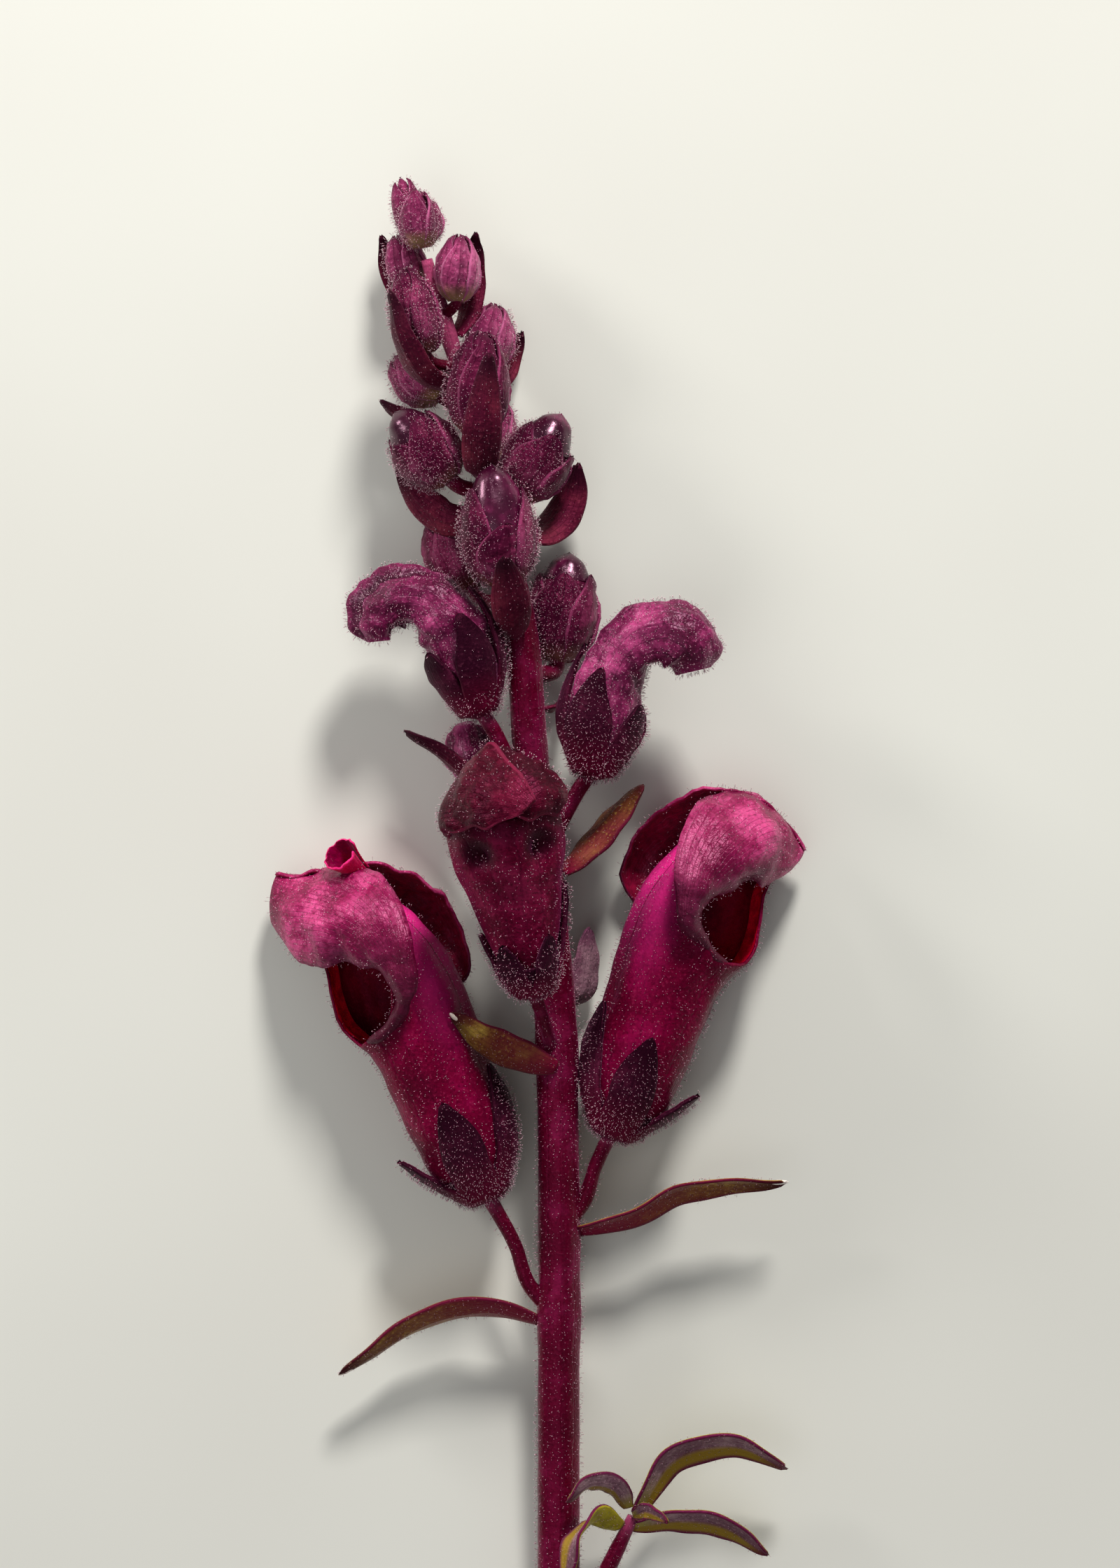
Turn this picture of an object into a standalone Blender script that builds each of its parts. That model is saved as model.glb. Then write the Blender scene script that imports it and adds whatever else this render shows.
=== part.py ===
"""A cut snapdragon stem lying on a surface.

The stem lies along +Y with its tip at +Y, +X is to its right and +Z is up. Lengths in the tables are
in millimetres and become metres when a mesh is made. The surface it lies on is z = 0.
"""
import math

import bmesh
import bpy
import numpy as np
from mathutils import Vector

MM = 0.001
GAP = 0.35
BLADE = 0.64
SEPAL = 0.62
PETAL = 0.66
PALATE = 1.5
PALATE_INNER = 0.9
SEPALS_IN_A_CALYX = 5
SEPAL_STEP = 0.5
BUD_SIDES_A_SEPAL = 4
CALYX_ROWS = 5
PETALS_SHOW_FROM = 0.8
HOOKED_AXIS_SHARE = 0.5
FUSED_WELD = 0.0000005
TUBE_ROWS = 8
TUBE_COLUMNS = 24
LOBE_ROWS = 10
LOBE_COLUMNS = 4
PALATE_ROWS = 4
PALATE_COLUMNS = 3
PALATE_HOLLOW = 1.4
PALATE_SUNK = 0.4
STEM_STATIONS = 15
STEM_SIDES_RESOLUTION = 4
STALK_SIDES_RESOLUTION = 1
SHARP_EDGE_DEG = 50.0
# An egg's radius at each share of its axis, as a share of its widest.
EGG_SHARES = (0.0, 0.12, 0.35, 0.6, 0.82, 0.95, 1.0)
EGG_SIZES = (0.34, 0.72, 1.0, 0.95, 0.7, 0.4, 0.1)
BLADE_ROWS = 7
BLADE_COLUMNS = 2
BLADE_ROOT_WIDTH = 0.12
BLADE_STARTS = 0.08
BLADE_FULLNESS = 0.8
# The corners of a calyx lobe over its share of the rim, and how high each stands.
BOWL_CORNERS = (0.0, 0.2, 0.5, 0.8)
BOWL_RIMS = (0.2, 0.66, 1.0, 0.66)
BOWL_FLOOR_TO = 0.2
BOWL_FOOT_TO = 0.45
BOWL_WALL_FROM = 0.4
BOWL_LIFT = 0.15
CALYX_FOOT_LIFT = 0.1
CALYX_FLOOR = 1.5
# The rings of a bud: the place along it, and how much of the sepals' relief it takes.
BUD_RINGS = ((0.03, 0.0), (0.14, 0.4), (0.36, 0.9), (0.6, 1.0), (0.82, 1.0), (0.97, 0.8))
SEPAL_MIDDLE_RISE = 0.07
BUD_CLOSES = 0.95
HOOKED_SEPALS = (1.0, 0.9, 0.66, 0.66, 0.9)
HOOKED_FLARE = 0.1
HOOKED_FOOT_LIFT = 0.5
HOOKED_CLEAR = 0.9
HOOKED_FLOOR = 1.2
TIP_RINGS = 5
TIP_SIDES = 9
STALK_ENDS_BELOW = 2.3
STALK_NECK = 1.2
STALK_GAP = 0.1
STAMEN_RING_HEIGHT = 1.6
STAMEN_RING_TALL = 0.9
STAMEN_RING_RADIUS = 1.75
STAMEN_RING_WALL = 0.7
STAMEN_RING_COLUMNS = 12
FILAMENT_RADII = (0.4, 0.36, 0.36)
FILAMENT_BACK = (0.0, -2.2, -2.6)
FILAMENT_APART = (1.75, 2.6, 2.64)
FILAMENT_SIDES = 5
ANTHER_BELOW = 1.1
ANTHER_ABOVE = 1.3
ANTHER_RADIUS = 0.8
PISTIL_RINGS = 8
PISTIL_SIDES = 6
STIGMA = 0.8
CURL_ROWS = 3
CURL_COLUMNS = 6
HOOKED_RINGS = 12
HOOKED_SIDES = 14
TURNED_FROM_VIEWER = math.radians(24.0)

# The main stem's axis from the cut end to the tip: x, y, z and radius.
STEM_AXIS = (
    (2.5, -91.5, 2.6, 2.6),
    (2.5, -60.0, 5.0, 2.55),
    (2.5, -30.0, 7.2, 2.5),
    (2.0, -8.6, 8.4, 2.45),
    (0.6, 6.9, 8.9, 2.3),
    (-1.0, 23.0, 9.0, 2.1),
    (-2.0, 35.7, 9.0, 1.9),
    (-3.9, 46.8, 9.0, 1.5),
    (-6.6, 57.7, 9.0, 1.1),
    (-9.0, 66.4, 9.0, 0.95),
    (-11.6, 74.9, 9.0, 0.8),
    (-13.5, 81.6, 9.0, 0.7),
)

# Buds up the stem: base, tip, widest radius and the side that faces out from the stem.
BUDS = {
    "bud_01": ((-14.9, 78.4, 6.9), (-17.3, 84.6, 6.9), 2.15, (-1.0, 0.0, -0.3)),
    "bud_02": ((-9.8, 76.4, 10.2), (-9.5, 84.5, 10.8), 2.5, (1.0, 0.0, 0.3)),
    "bud_03": ((-13.4, 69.9, 12.2), (-16.2, 80.2, 13.2), 2.75, (-0.7, 0.0, 0.9)),
    "bud_04": ((-6.2, 68.3, 6.6), (-5.3, 76.4, 5.8), 2.7, (0.7, 0.0, -0.7)),
    "bud_05": ((-7.3, 59.8, 13.2), (-6.8, 72.6, 14.2), 3.5, (0.1, 0.0, 1.0)),
    "bud_06": ((-11.8, 64.9, 7.4), (-17.6, 69.6, 6.4), 2.8, (-0.7, 0.0, -0.6)),
    "bud_07": ((-10.4, 54.8, 10.2), (-17.3, 63.0, 11.0), 3.9, (-0.9, 0.3, 0.3)),
    "bud_08": ((-2.4, 52.6, 10.0), (2.9, 62.8, 10.8), 3.9, (1.0, 0.3, 0.3)),
    "bud_09": ((-5.2, 57.2, 5.6), (-4.2, 64.6, 4.2), 1.8, (0.5, 0.0, -0.9)),
    "bud_10": ((-4.0, 41.8, 14.8), (-5.5, 56.4, 16.6), 4.2, (0.0, 0.1, 1.0)),
    "bud_11": ((-8.0, 41.6, 3.9), (-12.9, 50.2, 2.5), 3.2, (-0.7, 0.0, -0.7)),
    "bud_12": ((2.4, 32.8, 4.9), (3.9, 46.2, 3.9), 4.15, (0.8, 0.0, -0.6)),
}
BUDS_WITH_PETALS = ("bud_07", "bud_08", "bud_10", "bud_12")
PETALS_FROM = 0.8
BUD_STALK_SHARE = 0.24
BUD_STALK_DROP = 1.6

# Hooked, still closed flowers: the axis of the corolla with its two radii at each station.
HOOKED = {
    "hook_left": (
        ((-7.4, 27.8, 11.9), (-8.5, 32.0, 12.2), (-10.6, 37.2, 12.4), (-14.2, 40.3, 12.4),
         (-17.6, 40.0, 12.4), (-19.4, 37.8, 12.4), (-19.2, 35.2, 12.3)),
        ((2.0, 2.0), (3.7, 3.5), (3.8, 3.7), (3.5, 3.6), (3.6, 3.6), (3.1, 3.1), (1.2, 1.3)),
        (-1.0, 0.0, 0.0),
    ),
    "hook_right": (
        ((6.9, 20.4, 11.9), (7.6, 25.0, 12.0), (9.0, 30.7, 12.2), (12.2, 35.0, 12.2),
         (16.0, 35.6, 12.2), (18.4, 33.9, 12.2), (19.0, 31.6, 12.2)),
        ((2.3, 2.3), (4.3, 4.0), (3.9, 3.9), (3.6, 3.8), (3.7, 3.7), (3.4, 3.4), (2.0, 2.2)),
        (1.0, 0.0, 0.0),
    ),
    "hook_rear": (
        ((-1.8, 4.0, 3.7), (-3.6, 10.4, 3.6), (-6.2, 17.6, 3.5), (-8.6, 22.6, 3.7), (-9.2, 25.2, 4.4)),
        ((1.6, 1.6), (2.7, 2.4), (3.2, 3.0), (2.8, 2.8), (1.0, 1.0)),
        (-1.0, 0.0, -0.2),
    ),
}

# Open flowers. A section of the tube is: height, offset outward, radius outward, radius sideways.
OPEN_TUBE = (
    (0.0, 0.85, 3.2, 3.1),
    (3.0, 0.85, 5.0, 4.9),
    (6.5, 0.6, 5.9, 5.7),
    (14.0, 0.7, 6.2, 6.1),
    (20.0, 0.9, 6.7, 6.4),
    (24.0, 1.8, 7.8, 6.5),
    (28.0, 2.0, 7.6, 6.5),
    (31.5, 2.2, 6.6, 6.1),
    (38.0, 4.6, 5.4, 5.4),
)
# The height of the tube's rim by angle from the outward side: two side windows dip between the lips.
LEFT_RIM = (
    (0.0, 33.4), (14.0, 33.2), (22.0, 31.8), (28.0, 27.4), (38.0, 22.8), (58.0, 21.5),
    (86.0, 22.0), (102.0, 24.2), (112.0, 27.4), (120.0, 30.4), (135.0, 32.5), (158.0, 36.0), (180.0, 37.6),
)
RIGHT_RIM = (
    (0.0, 34.0), (14.0, 33.8), (22.0, 32.4), (28.0, 28.8), (38.0, 24.8), (58.0, 22.8),
    (86.0, 23.2), (102.0, 25.2), (112.0, 28.0), (120.0, 30.6), (135.0, 32.5), (158.0, 36.0), (180.0, 37.6),
)
# One upper lobe: stations from the corner of the mouth over the top to the hood's tip. Each holds the
# rear edge, the crest and the front edge, as height, outward and sideways.
LEFT_LOBE = (
    ((21.2, 2.4, 6.3), (21.4, 2.6, 6.7), (21.9, 2.9, 6.3)),
    ((22.1, 0.0, 6.8), (22.4, 0.5, 7.1), (22.9, 1.0, 6.4)),
    ((24.8, -4.6, 8.0), (25.4, -2.9, 8.2), (26.0, -1.2, 6.1)),
    ((30.6, -6.6, 8.2), (30.4, -2.4, 8.6), (29.6, 0.0, 6.1)),
    ((36.4, -5.8, 5.4), (34.4, -0.8, 7.9), (31.2, 3.4, 6.3)),
    ((41.2, -1.2, 1.2), (37.6, 2.8, 6.8), (32.8, 6.2, 6.2)),
    ((42.7, 4.6, 0.0), (39.3, 6.4, 4.9), (33.2, 8.9, 4.8)),
    ((43.3, 8.2, -0.3), (40.4, 9.6, 3.2), (35.6, 11.3, 3.0)),
    ((44.6, 10.3, -0.4), (42.3, 11.6, 1.2), (39.4, 12.9, 1.2)),
)
RIGHT_LOBE = (
    ((22.7, 2.4, 6.3), (22.9, 2.6, 6.7), (23.4, 2.9, 6.3)),
    ((23.9, 0.0, 6.7), (24.2, 0.5, 7.1), (24.7, 1.0, 6.4)),
    ((26.0, -4.2, 8.0), (26.4, -2.6, 8.4), (27.0, -1.1, 6.1)),
    ((30.4, -6.7, 8.2), (30.4, -2.6, 8.9), (30.2, -0.1, 6.1)),
    ((36.4, -6.4, 5.2), (34.6, -0.8, 8.0), (32.0, 2.8, 6.2)),
    ((40.8, -3.4, 1.6), (37.8, 2.0, 7.1), (33.2, 5.2, 5.6)),
    ((43.1, 2.4, 0.0), (39.6, 5.2, 4.9), (33.6, 7.2, 4.0)),
    ((41.6, 7.4, -0.3), (39.4, 8.2, 2.6), (35.2, 9.0, 2.4)),
    ((38.9, 12.0, -0.4), (38.4, 11.8, 0.4), (37.4, 11.2, 0.7)),
)
# Each sepal's length and how far its tip stands off, round the calyx from the side by the stem.
OPEN_SEPALS = ((13.4, 0.1), (11.4, 0.2), (6.6, 2.2), (6.6, 2.2), (11.4, 0.2))

# The curled shred of petal behind the left flower's hood: its foot as height, outward and sideways, its
# length, how much it leans towards the viewer, and its radius at the foot and how much it widens.
CURL_FOOT = (40.6, -0.3, 0.0)
CURL_LONG = 4.6
CURL_LEAN = 0.6
CURL_RADIUS = 1.1
CURL_WIDENS = 0.9
CURL_ARC = (-150.0, 150.0)

# The heights between which the palate stands in the throat, and how far the stamens and pistil reach.
OPEN_PALATE = (20.4, 31.2)
HALF_PALATE = (13.4, 19.4)
OPEN_REACH = 26.0
HALF_REACH = 17.0

# Each stamen's angle round the flower and its share of the reach.
STAMENS = ((150.0, 1.0), (-150.0, 1.0), (115.0, 0.82), (-115.0, 0.82))
# The pistil below its stigma: height, radius and offset outward at each station.
PISTIL = ((0.0, 0.9, 0.0), (1.2, 1.1, 0.0), (2.8, 1.0, -0.3), (4.2, 0.5, -0.8), (5.4, 0.36, -1.2))
PISTIL_TOP = ((0.36, -1.9), (0.5, -1.5))

# The half open flower, the same way.
HALF_TUBE = (
    (0.0, 0.5, 2.6, 2.6),
    (4.4, 0.6, 4.0, 4.0),
    (8.3, 0.8, 4.9, 5.1),
    (11.6, 1.0, 5.6, 5.8),
    (14.5, 1.5, 6.2, 6.6),
    (17.8, 2.0, 6.7, 6.9),
    (21.0, 2.0, 6.3, 6.6),
    (25.5, 1.8, 4.6, 5.0),
)
HALF_RIM = (
    (0.0, 20.6), (16.0, 20.2), (22.0, 18.6), (27.0, 16.0), (34.0, 15.0), (42.0, 15.6), (48.0, 17.6),
    (56.0, 20.0), (80.0, 21.0), (120.0, 23.0), (150.0, 25.0), (180.0, 25.5),
)
HALF_LOBE = (
    ((19.1, -2.9, 5.0), (18.9, -1.3, 6.5), (18.3, 0.3, 6.5)),
    ((23.3, -3.6, 3.6), (21.6, -0.7, 7.3), (18.5, 2.3, 6.5)),
    ((27.2, -2.8, 1.4), (24.0, 2.5, 7.2), (18.4, 5.2, 7.0)),
    ((28.5, 0.6, -0.3), (24.8, 5.2, 5.4), (18.4, 8.0, 5.4)),
    ((27.6, 3.8, -0.5), (24.4, 7.4, 2.9), (18.8, 9.6, 3.1)),
    ((25.6, 6.6, -0.5), (23.2, 8.8, 0.4), (20.4, 10.0, 0.4)),
)
# The lobe that lies over the other one in the half open flower.
HALF_LOBE_OVER = (
    ((19.1, -2.9, 5.0), (18.9, -1.3, 6.5), (18.3, 0.3, 6.5)),
    ((23.3, -3.6, 4.4), (21.6, -0.7, 7.3), (18.0, 2.3, 6.9)),
    ((27.0, -2.8, 3.0), (24.0, 2.5, 7.2), (17.8, 5.4, 7.0)),
    ((28.5, 1.2, 1.0), (24.6, 6.2, 4.6), (17.7, 8.8, 5.2)),
    ((25.6, 7.0, -1.2), (23.0, 9.0, 1.8), (18.4, 10.6, 2.2)),
    ((21.8, 9.7, -3.2), (21.2, 10.4, -2.0), (20.4, 11.0, -1.6)),
)
HALF_LOBES = (HALF_LOBE_OVER, HALF_LOBE)
HALF_SEPALS = ((8.6, 0.1), (10.8, 0.1), (5.6, 0.1), (5.2, 0.1), (6.4, 0.1))

# Bracts: route of the midrib, direction across the blade, full width and how deep it is folded.
BRACTS = {
    "bract_left": (((-0.8, -47.4, 6.2), (-5.5, -46.2, 6.6), (-11.0, -46.8, 6.8), (-24.1, -54.1, 5.4)),
                   (0.1, 0.5, 0.87), 5.4, 0.7),
    "bract_right": (((5.8, -36.0, 7.0), (10.2, -35.0, 7.2), (17.0, -31.6, 7.4), (30.3, -30.5, 7.0)),
                    (-0.1, 0.5, 0.87), 5.0, 0.7),
    "bract_front": (((1.4, -16.4, 11.2), (-2.2, -15.2, 12.6), (-6.3, -13.2, 13.8), (-10.4, -9.8, 14.6)),
                    (0.2, 0.75, 0.5), 4.8, 0.8),
    "bract_rear": (((3.4, -8.8, 5.1), (5.4, -7.4, 4.4), (6.0, -4.6, 4.4), (6.2, 0.4, 4.8)),
                   (0.7, 0.1, -0.6), 4.4, 0.4),
    "bract_hook_left": (((-3.2, 10.8, 9.0), (-6.4, 15.2, 9.7), (-9.6, 19.7, 9.8), (-16.2, 24.4, 9.2)),
                        (0.3, 0.45, 0.8), 3.6, 0.6),
    "bract_hook_right": (((3.6, 8.0, 9.2), (6.2, 10.8, 9.4), (9.4, 14.4, 9.6), (12.8, 17.8, 9.6)),
                         (0.45, -0.4, 0.75), 4.8, 0.8),
    "bract_bud_12": (((0.9, 27.2, 7.4), (2.2, 27.4, 6.6), (3.2, 28.6, 5.6), (3.9, 30.4, 4.6)),
                     (0.5, 0.2, 0.8), 2.8, 0.3),
    "bract_bud_11": (((-4.5, 35.4, 7.4), (-6.4, 36.0, 5.2), (-7.9, 37.0, 3.2), (-9.4, 39.4, 1.4)),
                     (-0.1, 0.9, 0.3), 3.4, 0.4),
    "bract_bud_10": (((-2.8, 36.0, 11.7), (-2.9, 37.0, 13.9), (-3.2, 39.8, 17.0), (-4.0, 45.2, 20.6)),
                     (1.0, 0.1, 0.0), 4.6, 0.9),
    "bract_bud_09": (((-5.0, 54.6, 7.4), (-4.6, 55.2, 5.4), (-4.2, 57.2, 3.4), (-3.8, 60.6, 2.2)),
                     (1.0, 0.0, 0.1), 3.0, 0.4),
    "bract_bud_08": (((-1.4, 48.2, 9.0), (1.2, 49.0, 7.2), (3.6, 52.0, 5.8), (5.0, 57.0, 5.8)),
                     (0.9, -0.35, 0.25), 4.6, 0.8),
    "bract_bud_07": (((-8.0, 50.0, 8.2), (-11.4, 50.2, 6.8), (-14.4, 52.6, 5.8), (-17.1, 56.8, 5.4)),
                     (0.5, 0.75, 0.35), 4.4, 0.7),
    "bract_bud_06": (((-11.2, 61.2, 7.6), (-13.6, 61.4, 6.6), (-16.2, 62.4, 5.6), (-19.2, 64.6, 5.0)),
                     (0.1, 0.6, 0.7), 3.2, 0.5),
    "bract_bud_05": (((-6.6, 55.2, 10.8), (-6.8, 55.8, 13.4), (-6.6, 60.2, 17.8), (-5.8, 69.6, 19.2)),
                     (1.0, 0.1, 0.0), 4.6, 0.8),
    "bract_bud_04": (((-7.8, 64.2, 7.4), (-6.0, 66.0, 5.4), (-3.6, 69.4, 2.9), (-1.9, 73.2, 3.2)),
                     (0.9, -0.2, 0.3), 3.4, 0.5),
    "bract_bud_03": (((-10.7, 65.8, 10.8), (-13.4, 66.8, 13.4), (-15.9, 70.4, 16.0), (-17.8, 77.4, 16.6)),
                     (0.5, 0.3, 0.6), 4.0, 0.7),
    "bract_bud_02": (((-9.4, 73.2, 8.2), (-8.4, 75.4, 7.3), (-8.0, 79.4, 6.9), (-7.5, 84.9, 9.2)),
                     (0.95, 0.1, 0.3), 3.2, 0.5),
    "bract_bud_01": (((-13.6, 75.8, 8.0), (-15.2, 76.8, 5.4), (-17.4, 79.6, 3.9), (-19.1, 84.8, 5.0)),
                     (0.9, 0.3, -0.1), 3.2, 0.4),
}

# The stalks of the three flowers: the offset and radius at the flower's foot, and the stations before it.
FLOWER_STALKS = (
    (-0.6, 0.95, ((1.8, -46.0, 6.2, 0.95), (-0.9, -43.2, 6.9, 0.9), (-2.8, -38.0, 7.6, 0.85))),
    (-0.6, 0.95, ((3.4, -35.6, 6.8, 0.95), (5.8, -32.4, 7.2, 0.95), (7.0, -28.6, 7.7, 0.85))),
    (0.2, 0.9, ((1.8, -14.0, 9.4, 0.8), (1.2, -12.0, 12.4, 0.8), (0.6, -10.2, 14.6, 0.75))),
)
HOOK_STALKS = (
    ((-1.0, 11.0, 9.2, 0.9), (-2.6, 17.6, 10.2, 0.95), (-4.6, 23.0, 11.2, 0.95), (-6.9, 25.9, 11.7, 0.95)),
    ((1.2, 9.4, 9.4, 0.9), (3.0, 13.6, 10.6, 0.95), (4.4, 16.6, 11.4, 0.95), (6.4, 18.2, 11.8, 0.95)),
    ((0.9, 0.4, 8.0, 0.9), (-0.6, -0.6, 5.4, 0.9), (-1.2, 1.9, 3.9, 0.9)),
)

# The side shoot's own stem and its leaves.
SHOOT_AXIS = ((3.4, -87.4, 3.6, 1.0), (7.4, -80.0, 4.4, 1.0), (10.2, -74.4, 4.8, 0.9), (11.6, -71.4, 5.2, 0.7))
SHOOT_LEAVES = {
    "leaf_upper_right": (((12.5, -70.2, 5.4), (16.3, -64.2, 6.6), (24.1, -62.4, 6.8), (30.4, -65.6, 5.2)),
                         (-0.3, 0.7, 0.65), 4.6, 0.6),
    "leaf_upper_left": (((10.7, -69.6, 5.8), (9.4, -67.6, 7.4), (6.6, -67.0, 8.6), (3.6, -69.3, 8.8)),
                        (0.2, 0.7, 0.65), 3.2, 0.4),
    "leaf_centre": (((12.2, -70.9, 6.6), (13.2, -70.4, 8.2), (14.6, -70.8, 9.6), (15.8, -71.6, 10.2)),
                    (0.0, 0.9, 0.3), 2.0, 0.2),
    "leaf_lower_right": (((12.4, -72.4, 4.8), (17.2, -71.6, 5.2), (22.6, -72.4, 5.0), (28.1, -76.2, 3.6)),
                         (0.1, 0.7, 0.7), 4.2, 0.5),
    "leaf_lower_left": (((9.4, -72.4, 6.0), (7.2, -71.2, 8.2), (4.8, -73.4, 9.8), (3.4, -79.4, 10.6)),
                        (0.6, 0.6, 0.5), 4.2, 0.5),
}

# The growing tip's small buds: base, tip, widest radius and the side that faces out.
GROWING_TIP = (
    ((-13.9, 83.0, 9.0), (-15.2, 90.0, 9.2), 2.2, (-0.4, 0.0, 1.0)),
    ((-14.6, 84.0, 8.8), (-16.7, 91.7, 8.4), 1.6, (-1.0, 0.0, 0.0)),
    ((-13.5, 84.0, 8.6), (-13.1, 88.8, 8.2), 1.6, (1.0, 0.0, 0.0)),
    ((-14.2, 83.4, 10.4), (-14.8, 90.1, 11.4), 1.7, (0.0, 0.0, 1.0)),
)

COLOURS = {
    "stem": ((0.09, 0.008, 0.022), 0.55),
    "petal": ((0.15, 0.006, 0.035), 0.5),
    "lobe": ((0.24, 0.03, 0.09), 0.6),
    "sepal": ((0.06, 0.012, 0.03), 0.7),
    "bud": ((0.14, 0.02, 0.06), 0.7),
    "bract": ((0.10, 0.016, 0.016), 0.6),
    "leaf": ((0.09, 0.10, 0.03), 0.55),
    "anther": ((0.75, 0.62, 0.30), 0.8),
}


def unit(vector):
    """Give a vector the length 1."""
    array = np.asarray(vector, float)
    return array / np.linalg.norm(array)


def through(points, where):
    """Read a smooth curve through points at parameters from 0 to 1, spaced by distance."""
    knots = np.asarray(points, float)
    steps = np.linalg.norm(np.diff(knots[:, :3] if knots.shape[1] > 2 else knots, axis=0), axis=1)
    places = np.concatenate(([0.0], np.cumsum(steps)))
    places /= places[-1]
    slopes = np.gradient(knots, places, axis=0)
    where = np.clip(np.atleast_1d(np.asarray(where, float)), 0.0, 1.0)
    index = np.clip(np.searchsorted(places, where, side="right") - 1, 0, len(places) - 2)
    span = (places[index + 1] - places[index])[:, None]
    part = ((where - places[index]) / (places[index + 1] - places[index]))[:, None]
    start, end = knots[index], knots[index + 1]
    rise, fall = slopes[index] * span, slopes[index + 1] * span
    square, cube = part ** 2, part ** 3
    return ((2 * cube - 3 * square + 1) * start + (cube - 2 * square + part) * rise
            + (3 * square - 2 * cube) * end + (cube - square) * fall)


class Body:
    """A round body along a curved axis, with an oval section whose first radius points outward.

    A body that bends in the XY plane keeps the sides of its sections level instead.
    """

    def __init__(self, axis, radii, outward, level=False):
        self.path = np.hstack([np.asarray(axis, float), np.asarray(radii, float)])
        self.outward = np.asarray(outward, float)
        self.level = level

    def point(self, along, angle, lift=0.0):
        """Give the surface point at a place along the axis and an angle from the outward side."""
        ends = through(self.path, [along - 0.01, along, along + 0.01])
        tangent = unit(ends[2, :3] - ends[0, :3])
        if self.level:
            up = np.array((0.0, 0.0, 1.0)) * math.copysign(1.0, self.outward[0])
            side = unit(up - np.dot(up, tangent) * tangent)
            out = np.cross(tangent, side)
        else:
            out = unit(self.outward - np.dot(self.outward, tangent) * tangent)
            side = np.cross(tangent, out)
        centre, (radius_out, radius_side) = ends[1, :3], ends[1, 3:5]
        return (centre + (radius_out + lift) * math.cos(angle) * out
                + (radius_side + lift) * math.sin(angle) * side)

    def centre(self, along):
        """Give the axis point at a place along it."""
        return through(self.path, along)[0, :3]


def new_object(name, vertices, faces):
    """Make an object from vertices in millimetres."""
    mesh = bpy.data.meshes.new(name)
    mesh.from_pydata([Vector(np.asarray(v) * MM) for v in vertices], [], faces)
    mesh.update()
    made = bpy.data.objects.new(name, mesh)
    bpy.context.scene.collection.objects.link(made)
    return made


def turn_outward(made, weld=0.00002):
    """Weld what coincides and turn every face outward."""
    shape = bmesh.new()
    shape.from_mesh(made.data)
    bmesh.ops.remove_doubles(shape, verts=shape.verts, dist=weld)
    bmesh.ops.triangulate(shape, faces=shape.faces)
    bmesh.ops.recalc_face_normals(shape, faces=shape.faces)
    shape.to_mesh(made.data)
    shape.free()


def bake(made):
    """Replace an object's mesh with its evaluated one and drop its modifiers."""
    bpy.context.view_layer.update()
    graph = bpy.context.evaluated_depsgraph_get()
    mesh = bpy.data.meshes.new_from_object(made.evaluated_get(graph))
    made.modifiers.clear()
    made.data = mesh
    return made


def rod(name, path, resolution, samples):
    """Make a round tapering rod along x, y, z, radius stations."""
    stations = through(path, np.linspace(0.0, 1.0, samples))
    curve = bpy.data.curves.new(name, "CURVE")
    curve.dimensions = "3D"
    curve.bevel_depth = MM
    curve.bevel_resolution = resolution
    curve.use_fill_caps = True
    spline = curve.splines.new("POLY")
    spline.points.add(samples - 1)
    for point, station in zip(spline.points, stations):
        point.co = (station[0] * MM, station[1] * MM, station[2] * MM, 1.0)
        point.radius = station[3]
    guide = bpy.data.objects.new(name + "_guide", curve)
    bpy.context.scene.collection.objects.link(guide)
    bpy.context.view_layer.update()
    graph = bpy.context.evaluated_depsgraph_get()
    mesh = bpy.data.meshes.new_from_object(guide.evaluated_get(graph))
    made = bpy.data.objects.new(name, mesh)
    made.matrix_world = guide.matrix_world
    bpy.context.scene.collection.objects.link(made)
    bpy.data.objects.remove(guide)
    turn_outward(made)
    return made


def sheet(name, place, rows, columns, thickness, closed=False, offset=0.0):
    """Make a thick sheet from place(u, v); both faces are split into triangles alike.

    A row whose points coincide becomes a single tip.
    """
    around = columns if closed else columns + 1
    vertices = []
    for row in range(rows + 1):
        for column in range(around):
            vertices.append(place(row / rows, column / columns))
    faces = []
    for row in range(rows):
        for column in range(columns):
            a = row * around + column
            b = row * around + (column + 1) % around
            faces.append((a, b, b + around))
            faces.append((a, b + around, a + around))
    made = new_object(name, vertices, faces)
    shape = bmesh.new()
    shape.from_mesh(made.data)
    bmesh.ops.remove_doubles(shape, verts=shape.verts, dist=0.00003)
    bmesh.ops.dissolve_degenerate(shape, edges=shape.edges, dist=0.00002)
    bmesh.ops.triangulate(shape, faces=shape.faces)
    bmesh.ops.recalc_face_normals(shape, faces=shape.faces)
    shape.to_mesh(made.data)
    shape.free()
    thicken = made.modifiers.new("thickness", "SOLIDIFY")
    thicken.thickness = thickness * MM
    thicken.offset = offset
    bake(made)
    turn_outward(made)
    return made


def loft(name, body, start, end, rings, sides, lift=0.0):
    """Make a closed body between two places along a Body, with a pole at each end."""
    vertices = [body.centre(start)]
    for ring in range(rings):
        share = (ring + 0.5) / rings
        along = start + (end - start) * 0.5 * (1.0 - math.cos(math.pi * share))
        for side in range(sides):
            vertices.append(body.point(along, 2.0 * math.pi * side / sides, lift))
    vertices.append(body.centre(end))
    made = new_object(name, vertices, ringed_faces(rings, sides))
    turn_outward(made)
    return made


def egg(base, tip, radius, outward):
    """Give the Body of an egg-shaped bud between two points."""
    base, tip = np.asarray(base, float), np.asarray(tip, float)
    axis = [base + (tip - base) * share for share in EGG_SHARES]
    return Body(axis, [(radius * size, radius * size) for size in EGG_SIZES], outward)


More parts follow.
